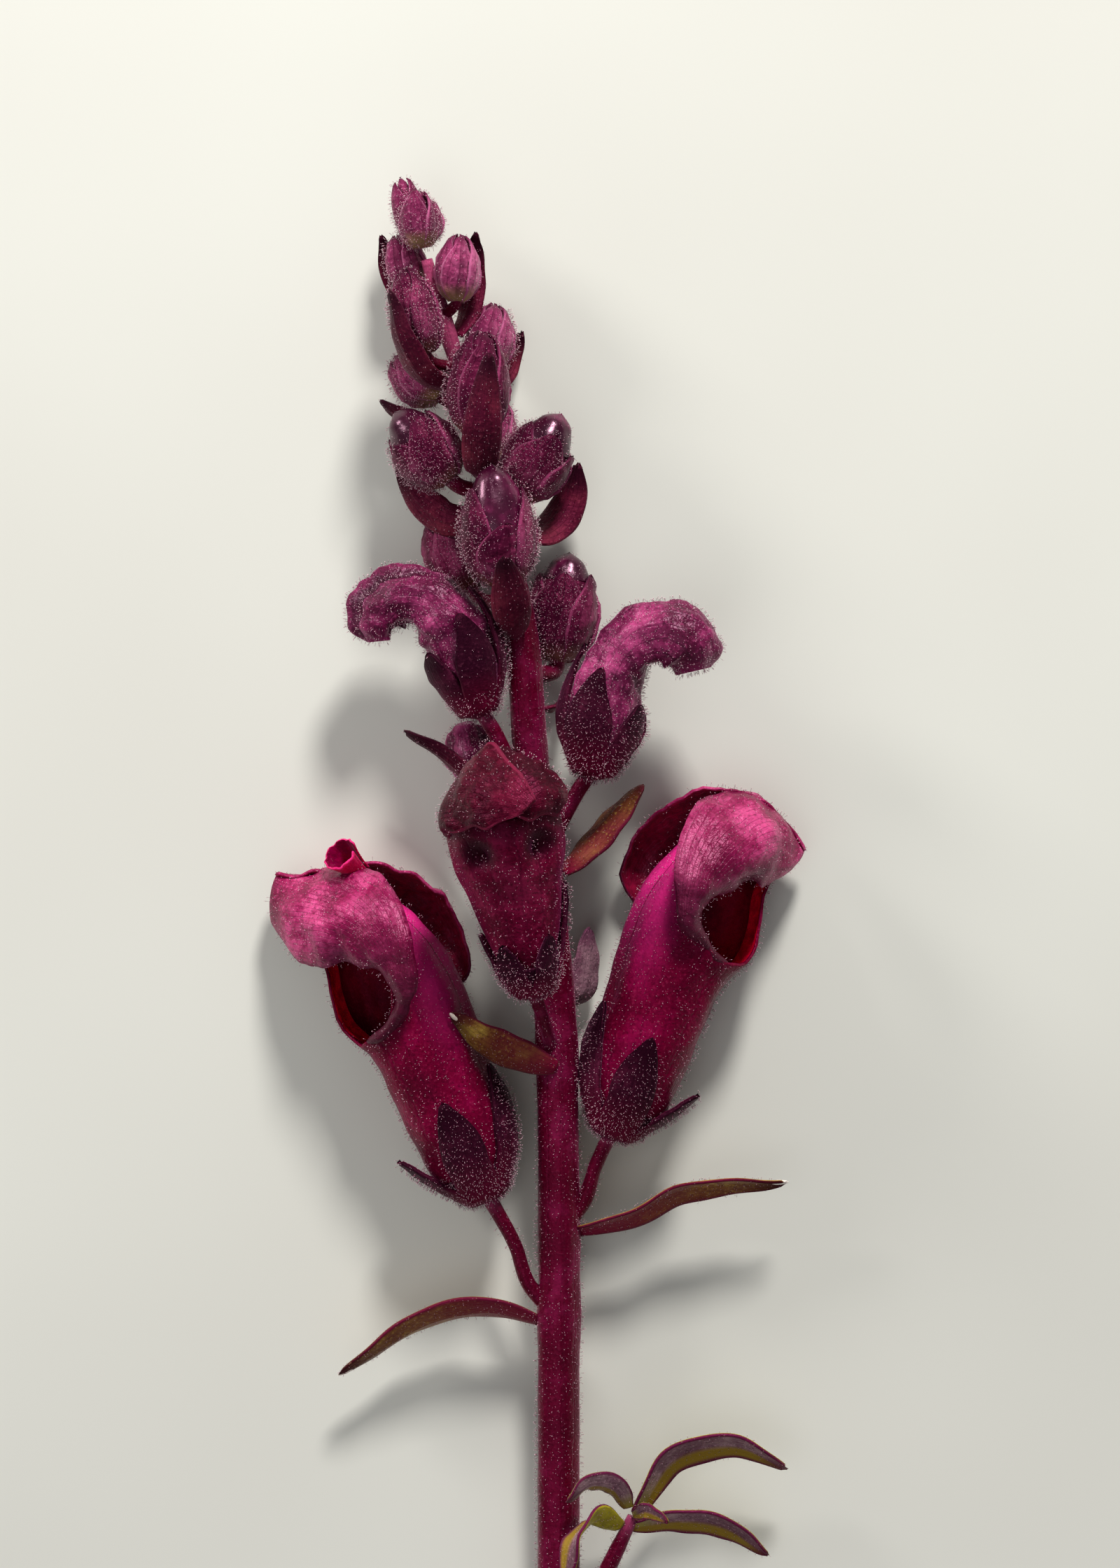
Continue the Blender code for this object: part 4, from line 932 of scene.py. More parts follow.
    def grow(self, bed: bpy.types.Object, coat: Coat, seed: int) -> Optional[bpy.types.Object]:
        """Grow the hairs of one piece.

        Args:
            bed: The piece that they grow from.
            coat: How many and how long they are.
            seed: Chooses where they stand.

        Returns:
            The hairs as one plain mesh, or None if there are none.
        """
        carrier = linked(f"{bed.name}_bed", bed.data)
        growth = carrier.modifiers.new("growth", "NODES")
        growth.node_group = self.tree
        settings = {
            "Hair": self.form, "Finish": self.material, "Per square metre": coat.per_mm2 / MM ** 2,
            "Length": coat.length * MM, "Width": coat.width * MM, "Spread": coat.spread,
            "Lowest": FLOOR_CLEARANCE, "Seed": seed,
        }
        for name, value in settings.items():
            growth[self.sockets[name]] = value
        graph = bpy.context.evaluated_depsgraph_get()
        mesh = bpy.data.meshes.new_from_object(carrier.evaluated_get(graph))
        bpy.data.objects.remove(carrier)
        if not mesh.polygons:
            return None
        keep_above_floor(mesh)
        self.grown += len(mesh.polygons)
        return linked(f"{bed.name}_hairs", mesh)

    def put_away(self) -> None:
        """Remove the one hair that was repeated."""
        bpy.data.objects.remove(self.form)
        LOG.info("hairs hold %d faces", self.grown)


def keep_above_floor(mesh: bpy.types.Mesh) -> None:
    """Bend what would hang below the surface flat onto it.

    Args:
        mesh: The mesh, whose points are moved.
    """
    places = np.empty(3 * len(mesh.vertices), np.float32)
    mesh.vertices.foreach_get("co", places)
    places[2::3] = np.maximum(places[2::3], 0.0)
    mesh.vertices.foreach_set("co", places)
    mesh.update()


class Dresser:
    """Finishes pieces: materials, hairs, and the node that each stands for."""

    def __init__(self) -> None:
        """Start with an empty wardrobe."""
        self.wardrobe = Wardrobe()
        self.grower = HairGrower(self.wardrobe)
        self.seed = 1
        self.faces = 0

    def finish(self, skin: Skin, name: str, node: str, slot: str, finishes: Sequence[PlantSkin],
               coat: Optional[Coat] = None) -> bpy.types.Object:
        """Make a piece, dress it and let it stand for its node.

        Args:
            skin: The shape.
            name: The piece's name.
            node: The node that it replaces.
            slot: The record's material slot; not used.
            finishes: One finish for each of the shape's slots.
            coat: Its hairs.

        Returns:
            The piece.
        """
        made = skin.made(name)
        keep_above_floor(made.data)
        for finish in finishes:
            made.data.materials.append(self.wardrobe.take(finish))
        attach(made, BODY)
        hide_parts(node)
        self.faces += len(made.data.polygons)
        self.seed += 1
        hairs = self.grower.grow(made, coat, self.seed) if coat is not None else None
        of_hair = 0
        if hairs is not None:
            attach(hairs, BODY)
            of_hair = len(hairs.data.polygons)
        LOG.info("%s: %d faces, %d of hair", name, len(made.data.polygons), of_hair)
        return made


class Body:
    """A round body along a curved axis, with an oval section whose first radius points outward."""

    def __init__(self, axis: Sequence[Row], radii: Sequence[Row], outward: Row, level: bool = False) -> None:
        """Lay the axis.

        Args:
            axis: Its points.
            radii: The two radii at each.
            outward: The side that the first radius points to.
            level: Whether the sides of the sections stay level, for an axis that bends in the XY plane.
        """
        self.path = np.hstack([np.asarray(axis, float), np.asarray(radii, float)])
        self.outward = np.asarray(outward, float)
        self.level = level

    def points(self, along: np.ndarray, angle: np.ndarray, lift: np.ndarray) -> np.ndarray:
        """Give points on or off its surface.

        Args:
            along: Places along the axis, from 0 to 1, one for each row.
            angle: Angles from the outward side, by row and column.
            lift: How far off the surface, by row and column.

        Returns:
            Points by row and column.
        """
        here = through(self.path, along)
        after, before = (through(self.path, along + step)[:, :3] for step in (AXIS_STEP, -AXIS_STEP))
        tangent = unit(after - before)
        if self.level:
            up = TOP * math.copysign(1.0, self.outward[0])
            side = unit(up - (tangent @ up)[:, None] * tangent)
            out = np.cross(tangent, side)
        else:
            out = unit(self.outward - (tangent @ self.outward)[:, None] * tangent)
            side = np.cross(tangent, out)
        reach_out = (here[:, 3:4] + lift) * np.cos(angle)
        reach_side = (here[:, 4:5] + lift) * np.sin(angle)
        return here[:, None, :3] + reach_out[..., None] * out[:, None] + reach_side[..., None] * side[:, None]

    def centre(self, along: float) -> np.ndarray:
        """Give the axis point at a place along it."""
        return through(self.path, np.array([along]))[0, :3]


class FlowerFrame:
    """The frame of a flower: up its tube, outward from the stem, and sideways to the viewer."""

    def __init__(self, base: Row, lean: float, outward_sign: float, turn: float, rise: float = 0.0) -> None:
        """Set the frame.

        Args:
            base: The foot of the tube.
            lean: The lean of the tube from +Y, in radians.
            outward_sign: 1 where the mouth looks right of the tube, -1 where left.
            turn: How far the mouth is turned down from level, in radians.
            rise: How much the tube climbs.
        """
        up = np.array((math.sin(lean), math.cos(lean), 0.0))
        plane = outward_sign * np.array((math.cos(lean), -math.sin(lean), 0.0))
        self.base = np.asarray(base, float)
        self.up = unit(up + rise * TOP)
        self.out = unit(math.cos(turn) * plane - math.sin(turn) * TOP)
        self.out = unit(self.out - np.dot(self.out, self.up) * self.up)
        self.side = math.sin(turn) * plane + math.cos(turn) * TOP
        self.side = unit(self.side - np.dot(self.side, self.up) * self.up)
        self.side = unit(self.side - np.dot(self.side, self.out) * self.out)

    def place(self, height: np.ndarray, outward: np.ndarray, sideways: np.ndarray) -> np.ndarray:
        """Turn places in this frame into points.

        Args:
            height: Heights up the tube.
            outward: Offsets outward.
            sideways: Offsets sideways.

        Returns:
            The points.
        """
        parts = zip((height, outward, sideways), (self.up, self.out, self.side))
        first, second, third = (np.asarray(part, float)[..., None] * way for part, way in parts)
        return self.base + first + second + third

    def wall(self, sections: Sequence[Row], height: np.ndarray, angle: np.ndarray,
             lift: np.ndarray) -> np.ndarray:
        """Give points on or off the tube's wall.

        Args:
            sections: The tube's sections: height, offset outward, radius outward and radius sideways.
            height: Heights up the tube.
            angle: Angles from the outward side, in radians.
            lift: How far off the wall.

        Returns:
            The points.
        """
        table = np.asarray(sections, float)
        offset, radius_out, radius_side = (
            read_between(table[:, 0], table[:, index], height) for index in (1, 2, 3))
        return self.place(height, offset + (radius_out + lift) * np.cos(angle),
                          (radius_side + lift) * np.sin(angle))


OPEN_TUBE = (
    (0.0, 0.85, 3.2, 3.1), (3.0, 0.85, 5.0, 4.9), (6.5, 0.6, 5.9, 5.7), (14.0, 0.7, 6.2, 6.1),
    (20.0, 0.9, 6.7, 6.4), (24.0, 1.8, 7.8, 6.5), (28.0, 2.0, 7.6, 6.5), (31.5, 2.2, 6.6, 6.1),
    (38.0, 4.6, 5.4, 5.4),
)
LEFT_RIM = (
    (0.0, 33.6), (14.0, 33.4), (22.0, 32.2), (28.0, 28.2), (38.0, 22.8), (58.0, 21.5),
    (88.0, 22.0), (104.0, 24.2), (114.0, 27.4), (122.0, 30.4), (136.0, 32.5), (158.0, 36.0), (180.0, 37.6),
)
RIGHT_RIM = (
    (0.0, 34.2), (14.0, 34.0), (20.0, 33.0), (25.0, 29.8), (33.0, 26.0), (44.0, 23.8), (58.0, 23.1),
    (88.0, 23.5), (104.0, 25.2), (114.0, 28.0), (122.0, 30.6), (136.0, 32.5), (158.0, 36.0), (180.0, 37.6),
)
LEFT_LOBE = (
    ((21.3, 4.6, 5.7), (21.35, 4.7, 5.9), (21.5, 4.8, 5.8)),
    ((21.2, 2.4, 6.3), (21.4, 2.6, 6.7), (21.9, 2.9, 6.3)),
    ((22.1, 0.0, 6.8), (22.4, 0.5, 7.1), (22.9, 1.0, 6.4)),
    ((24.8, -4.6, 8.0), (25.4, -2.9, 8.2), (26.0, -1.2, 6.1)),
    ((30.6, -6.6, 8.2), (30.4, -2.4, 8.6), (29.6, 0.0, 6.1)),
    ((36.4, -5.8, 5.4), (34.4, -0.8, 7.9), (31.2, 3.4, 6.3)),
    ((41.2, -1.2, 1.2), (37.6, 2.8, 6.6), (32.4, 6.2, 6.0)),
    ((42.7, 4.6, 0.0), (39.3, 6.4, 4.9), (32.8, 8.9, 4.7)),
    ((43.3, 8.2, -0.3), (40.4, 9.6, 3.2), (35.0, 11.3, 3.0)),
    ((44.6, 10.3, -0.4), (42.3, 11.6, 1.2), (39.2, 12.9, 1.2)),
)
RIGHT_LOBE = (
    ((22.6, 4.6, 5.7), (22.65, 4.7, 5.9), (22.8, 4.8, 5.8)),
    ((22.7, 2.4, 6.3), (22.9, 2.6, 6.7), (23.4, 2.9, 6.3)),
    ((23.9, 0.0, 6.7), (24.2, 0.5, 7.1), (24.7, 1.0, 6.4)),
    ((26.0, -4.2, 8.0), (26.4, -2.6, 8.4), (27.0, -1.1, 6.1)),
    ((30.4, -6.7, 8.2), (30.4, -2.6, 8.9), (30.2, -0.1, 6.1)),
    ((36.4, -6.4, 5.2), (34.6, -0.8, 8.0), (31.8, 2.8, 6.2)),
    ((40.8, -3.4, 1.6), (37.8, 2.0, 6.9), (32.9, 5.2, 5.6)),
    ((43.1, 2.4, 0.0), (39.6, 5.2, 4.9), (33.2, 7.2, 4.2)),
    ((41.6, 7.4, -0.3), (39.4, 8.2, 2.6), (34.8, 9.2, 2.6)),
    ((38.9, 12.0, -0.4), (38.4, 11.8, 0.4), (37.2, 11.3, 0.8)),
)
CURL_FOOT = (40.6, -0.3, 0.0)
CURL_LONG = 4.6
CURL_LEAN = 0.72
CURL_THICK = 0.25
OPEN_SEPALS = ((13.4, 0.1), (11.4, 0.2), (6.6, 2.2), (6.6, 2.2), (11.4, 0.2))
HALF_TUBE = (
    (0.0, 0.5, 2.6, 2.6), (4.4, 0.6, 4.0, 4.0), (8.3, 0.8, 4.9, 5.1), (11.6, 1.0, 5.6, 5.8),
    (14.5, 1.5, 6.2, 6.6), (17.8, 2.0, 6.7, 6.9), (21.0, 2.0, 6.3, 6.6), (25.5, 1.8, 4.6, 5.0),
)
HALF_RIM = (
    (0.0, 20.6), (56.0, 20.6), (80.0, 21.0), (120.0, 23.0), (150.0, 25.0), (180.0, 25.5),
)
HALF_LOBE = (
    ((19.1, -2.9, 5.0), (18.9, -1.3, 6.5), (18.6, 0.3, 6.5)),
    ((23.3, -3.6, 3.6), (21.6, -0.7, 7.3), (19.4, 2.3, 6.5)),
    ((27.2, -2.8, 1.4), (24.4, 2.5, 7.0), (19.9, 5.2, 7.0)),
    ((28.5, 0.6, -0.3), (25.2, 5.2, 5.2), (20.0, 7.6, 5.4)),
    ((27.6, 3.8, -0.5), (24.8, 7.0, 2.9), (20.2, 9.0, 3.1)),
    ((25.6, 6.6, -0.5), (23.6, 8.4, 0.4), (21.2, 9.4, 0.4)),
)
HALF_LOBE_OVER = (
    ((19.1, -2.9, 5.0), (18.9, -1.3, 6.5), (18.6, 0.3, 6.5)),
    ((23.1, -3.4, 4.2), (21.0, -0.3, 7.1), (19.2, 2.6, 7.0)),
    ((26.8, -2.0, 2.0), (23.6, 3.3, 5.8), (20.0, 6.0, 6.8)),
    ((28.6, 2.2, 0.2), (24.8, 7.2, 3.4), (20.2, 9.0, 4.8)),
    ((26.0, 7.9, -2.2), (23.6, 9.8, 0.6), (20.4, 10.8, 1.6)),
    ((22.4, 10.4, -4.0), (21.9, 11.0, -3.0), (21.4, 11.3, -2.2)),
)
HALF_SEPALS = ((8.6, 0.1), (10.8, 0.1), (5.6, 0.1), (5.2, 0.1), (6.4, 0.1))


@dataclass
class Calyx:
    """Five thick sepals that grow from a small cup and hug what they wrap."""

    place: Callable[[np.ndarray, np.ndarray, np.ndarray], np.ndarray]
    foot: np.ndarray
    lengths: Row
    flares: Row
    start: float
    cup: float
    broad: float = 0.74
    clear: float = 0.2
    thick: float = 0.55
    rows: int = 26
    columns: int = 14
    seed: int = 3

    def add_to(self, skin: Skin, slot: int = 0) -> None:
        """Add the sepals and the cup to a shape.

        Args:
            skin: The shape.
            slot: The finish of the sepals.
        """
        turn = FULL_TURN / len(self.lengths)
        u, v = lattice(self.rows, self.columns)
        for index, (length, flare) in enumerate(zip(self.lengths, self.flares)):
            broad = self.broad + (1.16 - self.broad) * (1.0 - smooth(u, 0.05, 0.42))
            width = 0.5 * turn * broad * (1.0 - smooth(u, 0.42, 1.06)) ** 0.62
            width[-1] = 0.0
            height = self.start + (length - self.start) * u + 0.0 * v
            ridge = 0.3 * (1.0 - v ** 2) * smooth(u, 0.05, 0.4) * (1.0 - 0.6 * u)
            lap = 0.16 * v * np.sin(math.pi * u)
            lift = self.clear + 0.5 * self.thick + ridge + lap + flare * u ** 2.2 + 0.12 * v ** 2 * u
            angle = math.pi + index * turn + width * v
            grid = crumple(self.place(height, angle, lift), 0.05, 2.4, self.seed + index)
            skin.sheet(grid, self.thick, slot=slot, inner_hair=0.15,
                       heart=self.place(height, angle, lift - 2.5))
        angle = around(30)
        share = np.linspace(0.0, 1.0, 9)[:, None]
        swell = self.clear + 0.8 * self.thick
        height = self.start + (self.cup - self.start) * share + 0.0 * angle
        grid = self.place(height, angle + 0.0 * share, swell + 0.0 * height)
        skin.rings(grid, self.foot, grid[-1].mean(axis=0), slot)


@dataclass
class OpenFlower:
    """A two-lipped flower with windows between its lips: corolla, calyx, stamens and pistil.

    A fold of the tube is given by its size, its angle and its width in degrees, and the height where it is
    full.
    """

    FOLDS = ((0.45, 152.0, 15.0, 22.0), (-0.3, 122.0, 12.0, 20.0))
    PIT_SPREAD = (14.0, 1.5)
    SHADOW_SPREAD = (27.0, 2.6)
    SHADOW_RISE = 0.6
    TUBE, LOBE, THROAT, RIM, CURL = range(5)

    name: str
    frame: FlowerFrame
    sections: Sequence[Row]
    rim: Sequence[Row]
    lobes: Sequence[Sequence[Sequence[Row]]]
    sepals: Sequence[Row]
    palate: Row
    reach: float
    tube_rows: int = 76
    tube_columns: int = 132
    lobe_rows: int = 70
    lobe_columns: int = 30
    petal: float = 0.4
    lip_angle: float = 34.0
    wrinkle: float = 0.34
    pit_depth: float = 0.0
    pit_angle: float = 34.0
    pit_height: float = 16.4
    palate_inner: float = 0.4
    palate_thick: float = 1.0
    palate_sunk: float = 1.6
    lobe_shade: float = 0.0
    tube_finish: PlantSkin = TUBE_SKIN
    lobe_finish: PlantSkin = LOBE_SKIN
    seed: int = 11
    curl: bool = False

    def add_tube(self, skin: Skin) -> None:
        """Add the tube with the lower lip's front wall.

        Args:
            skin: The shape.
        """
        angles = np.linspace(-180.0, 180.0, self.tube_columns, endpoint=False)
        off = np.abs(angles)[None, :]
        u = np.linspace(0.0, 1.0, self.tube_rows)[:, None]
        places, tops = zip(*self.rim)
        height = u * read_between(places, tops, off[0])[None, :]
        turned = np.radians(angles)[None, :] + 0.0 * u
        grooves = 0.13 * np.cos(7.0 * turned) * smooth(height, 5.0, 18.0)
        fold = sum(size * hump(off, angle, wide) * smooth(height, 6.0, full)
                   for size, angle, wide, full in self.FOLDS)
        at_window = smooth(off, 26.0, 34.0) * (1.0 - smooth(off, 100.0, 118.0))
        lift = grooves + fold + 0.4 * smooth(u, 0.9, 1.0) * at_window
        dark = None
        if self.pit_depth > 0.0:
            cheek = 0.5 * hump(angles[None, :], 0.0, 20.0) * smooth(height, 8.0, 15.0)
            lift = lift + cheek - self.pit_depth * self.at_pit(off, height, self.PIT_SPREAD)
            # Painted shade: the pits and the wall round them are darkened, and the wall above them under the
            # upper lip's lobes.
            shadow = smooth(self.at_pit(off, height, self.SHADOW_SPREAD, self.SHADOW_RISE), 0.2, 0.75)
            under_lip = 0.6 * smooth(height, self.pit_height + 0.4, self.pit_height + 3.4)
            dark = np.maximum(shadow, under_lip)
        grid = self.frame.wall(self.sections, height, turned, lift - 0.5 * self.petal)
        # The front wall's inner face takes the rim skin with its painted backlit glow.
        inner = [self.RIM if abs(angle) < self.lip_angle else self.THROAT for angle in angles]
        skin.sheet(crumple(grid, 0.07, 5.0, self.seed, closed=True), self.petal, closed=True,
                   slot=self.TUBE, inner=inner, dark=dark)

    def at_pit(self, off: np.ndarray, height: np.ndarray, spread: Row, rise: float = 0.0) -> np.ndarray:
        """Give a bell of height 1 over each of the two pits.

        Args:
            off: Angles off the outward side, in degrees.
            height: Heights up the tube.
            spread: How wide the bell is, in degrees, and how high, in millimetres.
            rise: How far above the pit its middle is.

        Returns:
            The height of the bell.
        """
        sideways = (off - self.pit_angle) / spread[0]
        upward = (height - self.pit_height - rise) / spread[1]
        return np.exp(-(sideways ** 2 + upward ** 2))

    def add_lobe(self, skin: Skin, stations: Sequence[Sequence[Row]], sign: float) -> None:
        """Add one lobe of the upper lip, with its wrinkles and rolled margins.

        Args:
            skin: The shape.
            stations: Rear edge, crest and front edge at each station.
            sign: 1 for the lobe on the side to the viewer, -1 for the other.
        """
        u = np.linspace(0.0, 1.0, self.lobe_rows)[:, None]
        v = np.linspace(0.0, 1.0, self.lobe_columns)[None, :, None]
        read = through(np.asarray(stations, float).reshape(len(stations), 9), u[:, 0]).reshape(-1, 3, 3)
        rear, crest, front = (read[:, index][:, None, :] for index in range(3))
        point = (1.0 - v) * (1.0 - 2.0 * v) * rear + 4.0 * v * (1.0 - v) * crest + v * (2.0 * v - 1.0) * front
        height, outward, sideways = (point[..., index] for index in range(3))
        across = v[..., 0]
        middle = np.sin(math.pi * u) ** 0.5
        roll = 0.7 * (smooth(across, 0.86, 1.0) ** 2 + 0.8 * smooth(across, 0.12, 0.0) ** 2) * middle
        edge = smooth(np.abs(across - 0.5), 0.3, 0.5) * middle
        wave = 0.25 * edge * np.sin(u * 23.0 + sign)
        grid = self.frame.place(height + wave, outward, sign * (sideways - roll))
        folds = np.sin(9.0 * u + 5.0 * across + 1.3 * np.sin(4.0 * u)) * smooth(across, 0.1, 0.5)
        crimps = np.sin(34.0 * across + 3.0 * np.sin(5.0 * u + self.seed)) * smooth(u, 0.35, 0.7)
        depth = self.wrinkle * (ripples(grid, 6.5, self.seed + 5) + 0.35 * ripples(grid, 2.4, self.seed + 6)
                                + 0.9 * folds * smooth(u, 0.3, 0.6) + 0.1 * crimps)
        grid = grid + (depth * middle)[..., None] * sheet_normals(grid, False)
        heart = self.frame.place(np.minimum(height, 36.0), 0.0 * outward + 1.5, 0.0 * outward)
        # Painted shade: the far lobe darkens where the near lobe lies over it, and both lobes darken in the
        # troughs of their folds.
        shade = self.lobe_shade * (sign < 0.0) * smooth(across, 0.55, 0.1)
        dark = 0.55 * smooth(-folds * middle, 0.5, 1.0) + shade
        skin.sheet(grid, self.petal, slot=self.LOBE, hair=0.8, inner_hair=0.1, heart=heart,
                   dark=np.clip(dark * middle, 0.0, 1.0))

    def add_palate(self, skin: Skin) -> None:
        """Add the rounded fold of the lower lip that closes the throat.

        Args:
            skin: The shape.
        """
        low, high = self.palate
        u = np.linspace(0.02, 0.98, 40)[:, None]
        turned = around(60)
        height = low + (high - low) * u + 0.0 * turned
        wall = self.frame.wall(self.sections, height, 0.0 * height, 0.0 * height - 0.5)
        outer = (wall - self.frame.base) @ self.frame.out
        inner = self.palate_inner + 1.4 * (2.0 * u - 1.0) ** 2 + 0.0 * turned
        thick = self.palate_thick * np.sin(math.pi * u) ** 0.5
        outward = 0.5 * (inner + outer) + 0.5 * (outer - inner) * np.cos(turned)
        ribs = 0.06 * np.sin(3.1 * outward + 1.5 * np.sin(0.5 * height)) * np.sin(turned)
        grid = self.frame.place(height, outward, thick * np.sin(turned) + ribs - self.palate_sunk)
        skin.rings(grid, grid[0].mean(axis=0), grid[-1].mean(axis=0), self.THROAT, hair=0.0)

    def add_curl(self, skin: Skin) -> None:
        """Add the curled shred of petal behind the hood.

        Args:
            skin: The shape.
        """
        u = np.linspace(0.0, 1.0, 26)[:, None]
        turned = np.radians(np.linspace(-160.0, 165.0, 64))[None, :]
        widen = 1.1 + 1.0 * u ** 1.5 + 0.06 * np.sin(13.0 * turned) * u ** 6
        axial = CURL_LONG * u + 0.12 * np.sin(7.0 * turned) * u ** 3
        rise = math.sqrt(1.0 - CURL_LEAN ** 2)
        foot_height, foot_outward, foot_sideways = CURL_FOOT
        height = foot_height + rise * axial - CURL_LEAN * widen * np.sin(turned)
        sideways = foot_sideways + CURL_LEAN * axial + rise * widen * np.sin(turned)
        grid = self.frame.place(height, foot_outward + 0.2 * u + widen * np.cos(turned), sideways)
        skin.sheet(grid, CURL_THICK, slot=self.CURL, hair=0.1)

    def make_corolla(self, dresser: Dresser) -> None:
        """Make the corolla.

        Args:
            dresser: Finishes the piece.
        """
        skin = Skin()
        self.add_tube(skin)
        for stations, sign in zip(self.lobes, (1.0, -1.0)):
            self.add_lobe(skin, stations, sign)
        self.add_palate(skin)
        if self.curl:
            self.add_curl(skin)
        finishes = (self.tube_finish, self.lobe_finish, THROAT_SKIN, BACKLIT_RIM_SKIN, CURL_SKIN)
        dresser.finish(skin, f"{self.name}_petals", f"corolla_{self.name}", "petal", finishes,
                       COROLLA_COAT)

    def make_calyx(self, dresser: Dresser) -> None:
        """Make the calyx.

        Args:
            dresser: Finishes the piece.
        """
        offset, wide = self.sections[0][1], self.sections[0][2]
        foot = [(height, offset, size, size)
                for height, size in ((-2.3, 0.5), (-1.9, 0.46 * wide), (-1.1, 0.76 * wide))]

        def place(height: np.ndarray, angle: np.ndarray, lift: np.ndarray) -> np.ndarray:
            """Put calyx points on the tube and round its foot."""
            return self.frame.wall([*foot, *self.sections], height, angle, lift)

        skin = Skin()
        lengths, flares = zip(*self.sepals)
        Calyx(place, self.frame.place(-2.5, offset, 0.0), lengths, flares, start=-1.9, cup=1.8,
              seed=self.seed).add_to(skin)
        dresser.finish(skin, f"{self.name}_sepals", f"calyx_{self.name}", "sepal", (SEPAL_SKIN,),
                       CALYX_COAT)

    def make_inside(self, dresser: Dresser) -> None:
        """Make the four stamens and the pistil.

        Args:
            dresser: Finishes the piece.
        """
        skin = Skin()
        flower = self.frame
        offset = self.sections[0][1]
        foot_height, wide = 1.6, 1.75
        turned = around(28)
        share = np.linspace(0.0, 1.0, 4)[:, None]
        skin.sheet(flower.place(foot_height + 0.9 * share + 0.0 * turned,
                               offset + wide * np.cos(turned) + 0.0 * share,
                               wide * np.sin(turned) + 0.0 * share), 0.6, closed=True)
        for angle, part in ((150.0, 1.0), (-150.0, 1.0), (115.0, 0.82), (-115.0, 0.82)):
            aim = math.radians(angle)
            foot = flower.place(foot_height + 0.3, offset + wide * math.cos(aim), wide * math.sin(aim))
            middle = flower.place(0.5 * self.reach * part, offset - 2.2, 2.6 * math.sin(aim))
            top = flower.place(self.reach * part, offset - 2.6, 2.64 * math.sin(aim))
            add_rod(skin, ((*foot, 0.36), (*middle, 0.3), (*top, 0.28)), 18, 10)
            for lean in (-0.5, 0.5):
                low = top - 1.1 * flower.up + lean * flower.side
                high = top + 1.3 * flower.up + lean * flower.side
                add_egg(skin, low, high, 0.62, flower.out, slot=1)
        dresser.finish(skin, f"{self.name}_filaments", f"stamens_{self.name}", "anther",
                       (FILAMENT_SKIN, ANTHER_SKIN))
        pistil = Skin()
        axis = [flower.place(height, offset + shift, 0.0) for height, shift in (
            (0.0, 0.0), (1.2, 0.0), (2.8, -0.3), (4.2, -0.8), (5.4, -1.2), (self.reach - 0.8, -1.9),
            (self.reach, -1.5))]
        sizes = (0.9, 1.1, 1.0, 0.5, 0.36, 0.36, 0.5)
        add_body(pistil, Body(axis, [(size, size) for size in sizes], flower.out), 30, 18)
        dresser.finish(pistil, f"{self.name}_ovary", f"pistil_{self.name}", "anther", (OVARY_SKIN,),
                       OVARY_COAT)

    def make(self, dresser: Dresser) -> None:
        """Make the whole flower.

        Args:
            dresser: Finishes the piece.
        """
        self.make_corolla(dresser)
        self.make_calyx(dresser)
        self.make_inside(dresser)


def add_body(skin: Skin, body: Body, rings: int, sides: int, lift: float = 0.0, slot: int = 0,
             hair: float = 1.0, start: float = 0.0, end: float = 1.0) -> None:
    """Add a closed body along a Body's axis.

    Args:
        skin: The shape.
        body: The Body.
        rings: How many rings.
        sides: How many sides.
        lift: How far off its surface.
        slot: Its finish.
        hair: How hairy it is.
        start: Where it starts along the axis.
        end: Where it ends.
    """
    along = start + (end - start) * eased(rings)
    angle = around(sides) + 0.0 * along[:, None]
    grid = body.points(along, angle, lift + 0.0 * angle)
    skin.rings(grid, body.centre(start), body.centre(end), slot, hair)


EGG = ((0.0, 0.34), (0.12, 0.72), (0.35, 1.0), (0.6, 0.95), (0.82, 0.7), (0.95, 0.4), (1.0, 0.1))


def egg(base: Row, tip: Row, radius: float, outward: Row) -> Body:
    """Give the Body of an egg-shaped bud between two points.

    Args:
        base: Where it starts.
        tip: Where it ends.
        radius: Its widest radius.
        outward: The side that faces out.

    Returns:
        The Body.
    """
    base, tip = np.asarray(base, float), np.asarray(tip, float)
    axis = [base + (tip - base) * share for share, _ in EGG]
    return Body(axis, [(radius * size, radius * size) for _, size in EGG], outward)


def add_egg(skin: Skin, base: Row, tip: Row, radius: float, outward: Row, slot: int = 0) -> None:
    """Add a small egg-shaped body."""
    add_body(skin, egg(base, tip, radius, outward), 10, 12, slot=slot)


FLARE_REACH = 1.1
RIB_SHARE = 0.025
ROD_ROUGH = 0.02


def add_rod(skin: Skin, path: Sequence[Row], rows: int, sides: int, root_flare: float = 0.0,
            ribs: int = 0, slot: int = 0, hair: float = 1.0) -> None:
    """Add a round rod along x, y, z, radius stations.

    Args:
        skin: The shape.
        path: The stations.
        rows: How many rings.
        sides: How many sides.
        root_flare: How much thicker it is at its root, as a share of its radius.
        ribs: How many low ribs run along it.
        slot: Its finish.
        hair: How hairy it is.
    """
    share = np.linspace(0.0, 1.0, rows)
    stations = through(path, share)
    centres = stations[:, :3]
    side, other = transport(centres, (0.3, 0.1, 0.95))
    radius = stations[:, 3] * (1.0 + root_flare * np.exp(-share * path_length(centres) / FLARE_REACH))
    turned = around(sides)
    reach = radius[:, None] * (1.0 + (RIB_SHARE * np.cos(ribs * turned) if ribs else 0.0 * turned))
    grid = (centres[:, None] + (reach * np.cos(turned))[..., None] * side[:, None]
            + (reach * np.sin(turned))[..., None] * other[:, None])
    grid = grid + ROD_ROUGH * ripples(grid, 3.0, 5)[..., None] * unit(grid - centres[:, None])
    skin.rings(grid, centres[0], centres[-1], slot, hair)


